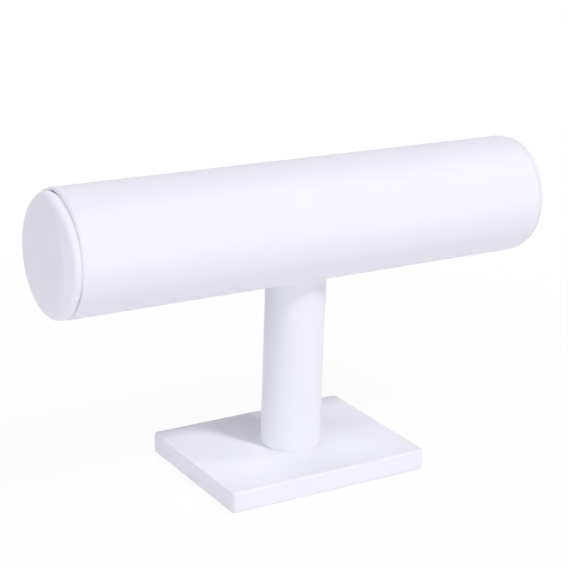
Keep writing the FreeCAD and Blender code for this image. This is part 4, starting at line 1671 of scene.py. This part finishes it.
class MaterialCanvas(Canvas):
    """A material under construction round one Principled BSDF."""

    def __init__(self, name: str, effects: Effects) -> None:
        """Makes the material.

        Args:
            name: The material's name.
            effects: The shared shader groups.
        """
        self.material = bpy.data.materials.new(name)
        self.material.use_nodes = True
        super().__init__(self.material.node_tree)
        self.effects = effects
        self.surface = self.tree.nodes["Principled BSDF"]
        self.place = self.wire("ShaderNodeTexCoord", output="Object")

    def set(self, **values: Value) -> None:
        """Sets the Principled BSDF's inputs, spaces as underscores."""
        for name, value in values.items():
            self.feed(self.surface.inputs[name.replace("_", " ")], value)

    def effect(self, group: EffectGroup, vector: Wire | None = None, **values: float) -> list[Wire]:
        """Places a shared group in this material.

        Args:
            group: The group.
            vector: Where it is read, object coordinates if not given.
            values: Its inputs.

        Returns:
            The group's outputs, in order.
        """
        inputs = {"Vector": vector or self.place, **values}
        node = self.add("ShaderNodeGroup", {"node_tree": group.tree}, inputs)
        return [Wire(self, output) for output in node.outputs]

    def pebbles(self, scale: float, unevenness: float) -> list[Wire]:
        """The pebbles' height and creases."""
        return self.effect(self.effects.pebbles, Scale=scale, Unevenness=unevenness)

    def blotches(self, scale: float, contrast: float) -> Wire:
        """The mottle's blotches."""
        return self.effect(self.effects.mottle, Scale=scale, Contrast=contrast)[0]

    def fibres(self, scale: float, length: float, vector: Wire | None = None) -> list[Wire]:
        """The fibres' height and flecks."""
        return self.effect(self.effects.fibres, vector, Scale=scale, Length=length)

    def mixed(self, share: Wire, first: Wire | Colour, second: Wire | Colour) -> Wire:
        """A colour between two.

        Args:
            share: The second colour's share.
            first: The first colour.
            second: The second colour.

        Returns:
            The mixed colour.
        """
        inputs: dict[str | int, Value] = {"Factor": share}
        for number, colour in ((6, first), (7, second)):
            inputs[number] = colour if isinstance(colour, Wire) else linear(colour)
        return self.wire("ShaderNodeMix", {"data_type": "RGBA"}, inputs, 2)

    def attribute(self, name: str) -> Wire:
        """A mesh's own value attribute, 0 where it has none."""
        return self.wire("ShaderNodeAttribute", {"attribute_name": name}, output="Fac")

    def bump(self, height: Wire, distance: float) -> None:
        """Raises the surface where the height is 1 by a distance in metres."""
        self.set(Normal=self.wire("ShaderNodeBump", inputs={"Height": height, "Distance": distance}))


@dataclass(frozen=True)
class Finish:
    """A finish in a tone and a shade of it. Each kind of finish paints in its own way."""

    name: str
    tone: Colour
    shade: Colour

    def build(self, effects: Effects) -> bpy.types.Material:
        """Makes the material.

        Args:
            effects: The shared shader groups.

        Returns:
            The material.
        """
        canvas = MaterialCanvas(self.name, effects)
        self.paint(canvas)
        return canvas.material

    def paint(self, canvas: MaterialCanvas) -> None:
        """Feeds the surface of the material.

        Args:
            canvas: The material under construction.
        """
        raise NotImplementedError


@dataclass(frozen=True)
class Leatherette(Finish):
    """Coated cloth: a fine even grain, a soft sheen, a cut edge and a cloth back."""

    edge: Colour = (236, 237, 239)
    # The seam colour is painted shade, put into the gaps of the seams at the bar's ends and at the top of
    # each base corner's slit.
    seam: Colour = (40, 34, 62)
    cloth: Colour = (232, 230, 226)
    grain: float = 2600.0
    grain_height: float = 0.000022

    def paint(self, canvas: MaterialCanvas) -> None:
        """Paints the grained face, and the backing, cut edges and painted shade where a mesh has them.

        Args:
            canvas: The material under construction.
        """
        blotch = canvas.blotches(45.0, 1.6)
        height, crease = canvas.pebbles(self.grain, 0.6)
        fleck = canvas.fibres(2600.0, 9.0)[1]
        face = canvas.mixed(blotch, self.tone, self.shade)
        # Painted shade: the grain's creases a little darker.
        face = canvas.mixed(crease * 0.12, face, self.shade)
        face = canvas.mixed(canvas.attribute("raw_edge"), face, self.edge)
        # Painted shade: the shade attribute turns the face towards the seam colour.
        face = canvas.mixed(canvas.attribute("shade"), face, self.seam)
        backing = canvas.attribute("backing")
        rough = backing.scaled(0.35, blotch.ranged(0.44, 0.56)).clamped()
        canvas.set(Base_Color=canvas.mixed(backing, face, canvas.mixed(fleck, self.cloth, self.edge)))
        canvas.set(Roughness=rough, Specular_IOR_Level=0.35, Sheen_Weight=0.08, Sheen_Roughness=0.5)
        canvas.bump(height, self.grain_height)


@dataclass(frozen=True)
class WoundPaper(Finish):
    """Tube paper, wound on a slant."""

    fleck: Colour = (210, 182, 146)
    winding: float = 46.0
    slant: float = 0.8

    def paint(self, canvas: MaterialCanvas) -> None:
        """Paints the winding's seams over mottled paper.

        Args:
            canvas: The material under construction.
        """
        height, fleck = canvas.fibres(700.0, 9.0)
        blotch = canvas.blotches(90.0, 1.6)
        x, y, z = canvas.parts(canvas.place)
        inputs = {"Vector": canvas.vector(x + z * self.slant, y, z), "Distortion": 0.2}
        inputs["Scale"] = self.winding / 4
        settings = {"wave_type": "BANDS", "bands_direction": "X"}
        seams = canvas.wire("ShaderNodeTexWave", settings, inputs, "Fac")
        colour = canvas.mixed(blotch, self.tone, self.shade)
        colour = canvas.mixed(seams.scaled(20.0, -19.0).clamped() * 0.6, colour, self.shade)
        canvas.set(Base_Color=canvas.mixed(fleck, colour, self.fleck), Roughness=blotch.ranged(0.78, 0.92))
        canvas.bump(height, 0.00005)


@dataclass(frozen=True)
class Board(Finish):
    """Pressed fibre: greyboard and fibreboard differ only in colour and fibre."""

    fleck: Colour
    fibre: float

    def paint(self, canvas: MaterialCanvas) -> None:
        """Paints pale flecks of fibre over mottled board.

        Args:
            canvas: The material under construction.
        """
        height, fleck = canvas.fibres(self.fibre, 6.0)
        blotch = canvas.blotches(160.0, 2.0)
        colour = canvas.mixed(blotch, self.tone, self.shade)
        canvas.set(Base_Color=canvas.mixed(fleck, colour, self.fleck), Roughness=blotch.ranged(0.8, 0.95))
        canvas.bump(height, 0.00004)


@dataclass(frozen=True)
class Foam(Finish):
    """Open-cell foam, painted darker in the creases between its cells: painted shade."""

    def paint(self, canvas: MaterialCanvas) -> None:
        """Paints the cells, with painted shade in the creases between them.

        Args:
            canvas: The material under construction.
        """
        height, crease = canvas.pebbles(1500.0, 0.9)
        blotch = canvas.blotches(120.0, 1.5)
        # Painted shade: darker in the creases between the cells.
        colour = canvas.mixed(crease, self.tone, self.shade)
        canvas.set(Base_Color=canvas.mixed(blotch * 0.2, colour, self.shade))
        canvas.set(Roughness=blotch.ranged(0.85, 0.98))
        canvas.bump(height, 0.0002)


@dataclass(frozen=True)
class Softwood(Finish):
    """Sawn softwood: early wood in the tone and late wood in the shade, in upright rings."""

    rings: float = 420.0
    heart: tuple[float, float] = (0.021, 0.013)

    def paint(self, canvas: MaterialCanvas) -> None:
        """Paints the rings about a heart that lies off the post's axis.

        Args:
            canvas: The material under construction.
        """
        x, y, z = canvas.parts(canvas.place)
        stretched = canvas.vector(x + self.heart[0], y + self.heart[1], z * 0.05)
        settings = {"wave_type": "RINGS", "rings_direction": "Z", "wave_profile": "SAW"}
        inputs = {"Vector": stretched, "Scale": self.rings / 4, "Distortion": 1.4, "Detail": 2.0}
        rings = canvas.wire("ShaderNodeTexWave", settings, inputs, "Fac")
        height, fleck = canvas.fibres(1800.0, 2.0, stretched)
        colour = canvas.mixed(rings**2.5, self.tone, self.shade)
        canvas.set(Base_Color=canvas.mixed(fleck * 0.35, colour, self.shade))
        canvas.set(Roughness=rings.ranged(0.7, 0.85))
        canvas.bump(height, 0.00004)


@dataclass(frozen=True)
class LiningCloth(Finish):
    """Flannel with a short nap."""

    def paint(self, canvas: MaterialCanvas) -> None:
        """Paints the nap's flecks over mottled cloth.

        Args:
            canvas: The material under construction.
        """
        height, fleck = canvas.fibres(1500.0, 5.0)
        blotch = canvas.blotches(110.0, 2.4)
        colour = canvas.mixed(blotch, self.tone, self.shade)
        canvas.set(Base_Color=canvas.mixed(fleck * 0.5, colour, self.shade))
        canvas.set(Roughness=blotch.ranged(0.88, 0.98), Sheen_Weight=0.3, Sheen_Roughness=0.6)
        canvas.bump(height, 0.00012)


@dataclass(frozen=True)
class ZincPlate(Finish):
    """Bright zinc on steel, faintly blotched."""

    def paint(self, canvas: MaterialCanvas) -> None:
        """Paints the zinc's spangle.

        Args:
            canvas: The material under construction.
        """
        height = canvas.pebbles(900.0, 0.5)[0]
        blotch = canvas.blotches(300.0, 2.0)
        canvas.set(Base_Color=canvas.mixed(blotch, self.tone, self.shade))
        canvas.set(Metallic=1.0, Roughness=blotch.ranged(0.28, 0.42))
        canvas.bump(height, 0.000006)


FINISHES = {
    Slot.LEATHERETTE: Leatherette("white_leatherette", (239, 239, 250), (236, 236, 247)),
    Slot.TUBE_PAPER: WoundPaper("wound_paper", (184, 152, 114), (158, 126, 90)),
    Slot.GREYBOARD: Board("greyboard", (150, 148, 143), (128, 126, 122), (190, 186, 176), 800.0),
    Slot.FOAM: Foam("pale_foam", (236, 232, 218), (206, 200, 180)),
    Slot.SOFTWOOD: Softwood("sawn_softwood", (222, 190, 142), (184, 136, 84)),
    Slot.FIBREBOARD: Board("fibreboard", (178, 146, 108), (156, 124, 88), (204, 176, 138), 1100.0),
    Slot.LINING: LiningCloth("napped_lining", (226, 224, 232), (206, 204, 214)),
    Slot.SCREW_STEEL: ZincPlate("zinc_plate", (206, 208, 210), (176, 182, 190)),
}


@dataclass(frozen=True)
class Lamp:
    """One soft square lamp of the studio."""

    name: str
    place: tuple[float, float, float]
    size: float
    power: float
    tint: Colour = (1.0, 1.0, 1.0)
    aim: tuple[float, float, float] = (0.0, 0.0, 0.08)

    def build(self) -> None:
        """Hangs the lamp."""
        data = bpy.data.lights.new(self.name, "AREA")
        data.shape = "RECTANGLE"
        data.size = self.size
        data.size_y = self.size
        data.energy = self.power
        data.color = self.tint
        lamp = bpy.data.objects.new(self.name, data)
        lamp.location = self.place
        lamp.rotation_mode = "QUATERNION"
        lamp.rotation_quaternion = (Vector(self.aim) - Vector(self.place)).to_track_quat("-Z", "Y")
        bpy.context.scene.collection.objects.link(lamp)


@dataclass
class Studio:
    """A white floor, soft lamps and the camera at the photograph's viewing angle."""

    lens: float = 101.9
    sensor: float = 36.0
    camera_place: tuple[float, float, float] = (-384.15, -601.43, 324.38)
    yaw: float = -32.132
    pitch: float = 18.191
    roll: float = 1.941
    nearest: float = 0.01
    floor_size: float = 12.0
    floor_tone: tuple[float, float, float, float] = (0.93, 0.93, 0.93, 1.0)
    floor_shadow: float = 0.06
    shadow_reach: tuple[float, float] = (0.1, 0.5)
    ambient: float = 0.01
    ambient_tone: tuple[float, float, float, float] = (1.0, 0.96, 0.98, 1.0)
    lamps: tuple[Lamp, ...] = (
        Lamp("key", (1.226, -2.513, 4.145), 0.58, 107.0, (1.0, 0.985, 0.99)),
        Lamp("front_fill", (0.0, -2.967, 0.443), 1.4, 38.5),
        Lamp("left_fill", (-2.81, -0.246, 1.026), 2.0, 30.0, (0.97, 0.97, 1.0)),
        Lamp("left_back_fill", (-2.776, 1.011, 0.521), 2.0, 11.0),
        Lamp("right_rim", (2.103, -0.486, 2.084), 0.6, 16.5),
        Lamp("back_fill", (0.0, 1.928, 2.298), 2.0, 25.0, (1.0, 0.98, 0.98)),
    )

    def build(self) -> None:
        """Builds the studio."""
        self.build_camera()
        self.build_world()
        self.build_floor()
        for lamp in self.lamps:
            lamp.build()
        bpy.context.scene.view_settings.view_transform = "Standard"

    def build_camera(self) -> None:
        """Sets up the camera: its turn about Z, its look down and its slight tilt to one side."""
        yaw, pitch, roll = (math.radians(angle) for angle in (self.yaw, self.pitch, self.roll))
        back = Vector((math.sin(yaw) * math.cos(pitch), -math.cos(yaw) * math.cos(pitch), math.sin(pitch)))
        level = Vector((math.cos(yaw), math.sin(yaw), 0.0))
        lifted = back.cross(level)
        right = level * math.cos(roll) + lifted * math.sin(roll)
        up = lifted * math.cos(roll) - level * math.sin(roll)
        data = bpy.data.cameras.new("camera")
        data.lens = self.lens
        data.sensor_width = self.sensor
        data.clip_start = self.nearest
        camera = bpy.data.objects.new("camera", data)
        turn = Matrix((right, up, back)).transposed().to_4x4()
        camera.matrix_world = Matrix.Translation(Vector(self.camera_place) * MM) @ turn
        bpy.context.scene.collection.objects.link(camera)
        bpy.context.scene.camera = camera

    def seen(self, canvas: Canvas) -> Wire:
        """Whether a ray shows the studio to the eye, straight, in gloss or through glass.

        Args:
            canvas: The canvas that asks.

        Returns:
            1 for such a ray, 0 for one that only carries light.
        """
        path = canvas.add("ShaderNodeLightPath").outputs
        found = [Wire(canvas, path[f"Is {kind} Ray"]) for kind in ("Camera", "Glossy", "Transmission")]
        return canvas.math("MAXIMUM", canvas.math("MAXIMUM", found[0], found[1]), found[2])

    def build_world(self) -> None:
        """Makes the world: soft light on the stand, plain white to the eye."""
        world = bpy.data.worlds.new("studio")
        bpy.context.scene.world = world
        world.use_nodes = True
        world.node_tree.nodes.clear()
        canvas = Canvas(world.node_tree)
        inputs = {"Color": self.ambient_tone, "Strength": self.ambient}
        light = canvas.wire("ShaderNodeBackground", inputs=inputs)
        white = canvas.wire("ShaderNodeBackground", inputs={"Color": WHITE, "Strength": 1.0})
        mix = canvas.wire("ShaderNodeMixShader", inputs={0: self.seen(canvas), 1: light, 2: white})
        canvas.add("ShaderNodeOutputWorld", inputs={"Surface": mix})

    def build_floor(self) -> None:
        """Makes the floor: white to the eye, with the stand's own shadow round its foot."""
        half = self.floor_size / 2
        mesh = bpy.data.meshes.new("floor")
        corners = [(-half, -half, 0.0), (half, -half, 0.0), (half, half, 0.0), (-half, half, 0.0)]
        mesh.from_pydata(corners, [], [(0, 1, 2, 3)])
        floor = linked("floor", mesh)
        material = bpy.data.materials.new("white_floor")
        material.use_nodes = True
        material.node_tree.nodes.clear()
        canvas = Canvas(material.node_tree)
        matt = canvas.wire("ShaderNodeBsdfDiffuse", inputs={"Color": self.floor_tone})
        glow = canvas.wire("ShaderNodeEmission", inputs={"Color": WHITE, "Strength": 1.0})
        place = canvas.wire("ShaderNodeTexCoord", output="Object")
        distance = canvas.wire("ShaderNodeVectorMath", {"operation": "LENGTH"}, {0: place}, "Value")
        near, far = self.shadow_reach
        inputs = {"Value": distance, 1: near, 2: far, 3: self.floor_shadow, 4: 0.0}
        shown = canvas.wire("ShaderNodeMapRange", {"interpolation_type": "SMOOTHSTEP"}, inputs)
        share = self.seen(canvas) * (1.0 - shown)
        mix = canvas.wire("ShaderNodeMixShader", inputs={0: share, 1: matt, 2: glow})
        canvas.add("ShaderNodeOutputMaterial", inputs={"Surface": mix})
        mesh.materials.append(material)


@dataclass
class Stand:
    """The whole stand: its soft pieces are modelled here, and its rigid nodes are finished."""

    CAPS = (("left", 4.0, LEFT_HAND, 3.2), ("right", 11.0, RIGHT_HAND, 2.2))
    FOAM_FILL = 0.9

    finishes: dict[Slot, bpy.types.Material]

    def build(self) -> None:
        """Builds every piece and finishes every node."""
        turning, tabs, threads = TurnedSheetTree(), TabRingTree(), ThreadTree()
        leather = self.finishes[Slot.LEATHERETTE]
        sleeve = BarSleeve(turning, tabs, leather)
        self.wrap(sleeve.build(), "bar_cover", sleeve.cut())
        for side, seed, hand, edge in self.CAPS:
            cap = EndCap(turning, tabs, leather, self.finishes[Slot.FOAM], side, seed, hand, edge)
            cover, foam = cap.build()
            self.wrap(cover, f"{side}_cap_cover", cap.cut())
            self.dress(foam, Slot.FOAM, f"{side}_cap_pad")
        post = PostWrap(turning, leather)
        self.wrap(post.build(), "post_cover", post.cut())
        base = BaseWrap(leather)
        self.wrap(base.build(), "base_cover", base.cut())
        lining = self.dress(BaseLining(self.finishes[Slot.LINING]).build(), Slot.LINING, "base_lining")
        for node in ("bar_screws", "base_screws"):
            wound = ScrewThreads(threads, self.finishes[Slot.SCREW_STEEL], node)
            self.dress(wound.build(), Slot.SCREW_STEEL)
        self.finish_nodes()

    def wrap(self, piece: bpy.types.Object, node: str, cut: Cut) -> None:
        """Ties a piece of leatherette to the stand's body and works out its sheet's sizes, which are not
        used.

        Args:
            piece: The piece.
            node: The node that it stands for.
            cut: The sheet that it was cut from.
        """
        self.dress(piece, Slot.LEATHERETTE, node)
        cut.declare()

    def dress(self, piece: bpy.types.Object, slot: Slot, *nodes: str) -> bpy.types.Object:
        """Ties a piece to the stand's body.

        Args:
            piece: The piece.
            slot: The material slot of the piece's finish; not used.
            nodes: The nodes that it stands for.

        Returns:
            The same piece.
        """
        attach(piece, BODY)
        if nodes:
            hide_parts(*nodes)
        LOG.info("%s: %d faces, stands for %s", piece.name, len(piece.data.polygons), nodes or "nothing")
        return piece

    def finish_nodes(self) -> None:
        """Gives each rigid node the finish of its slot in the record."""
        for entry in frame["record"]["subparts"]:
            node = frame["nodes"][entry["node"]]
            node.data.materials.clear()
            node.data.materials.append(self.finishes[Slot(entry["material_slot"])])
            LOG.info("%s: %s", entry["node"], entry["material_slot"])


def main() -> None:
    """Builds the studio and the stand."""
    logging.basicConfig(level=logging.INFO, format="%(name)s: %(message)s")
    Studio().build()
    effects = Effects(pebble_group(), mottle_group(), fibre_group())
    Stand({slot: finish.build(effects) for slot, finish in FINISHES.items()}).build()


if __name__ == "__main__":
    main()
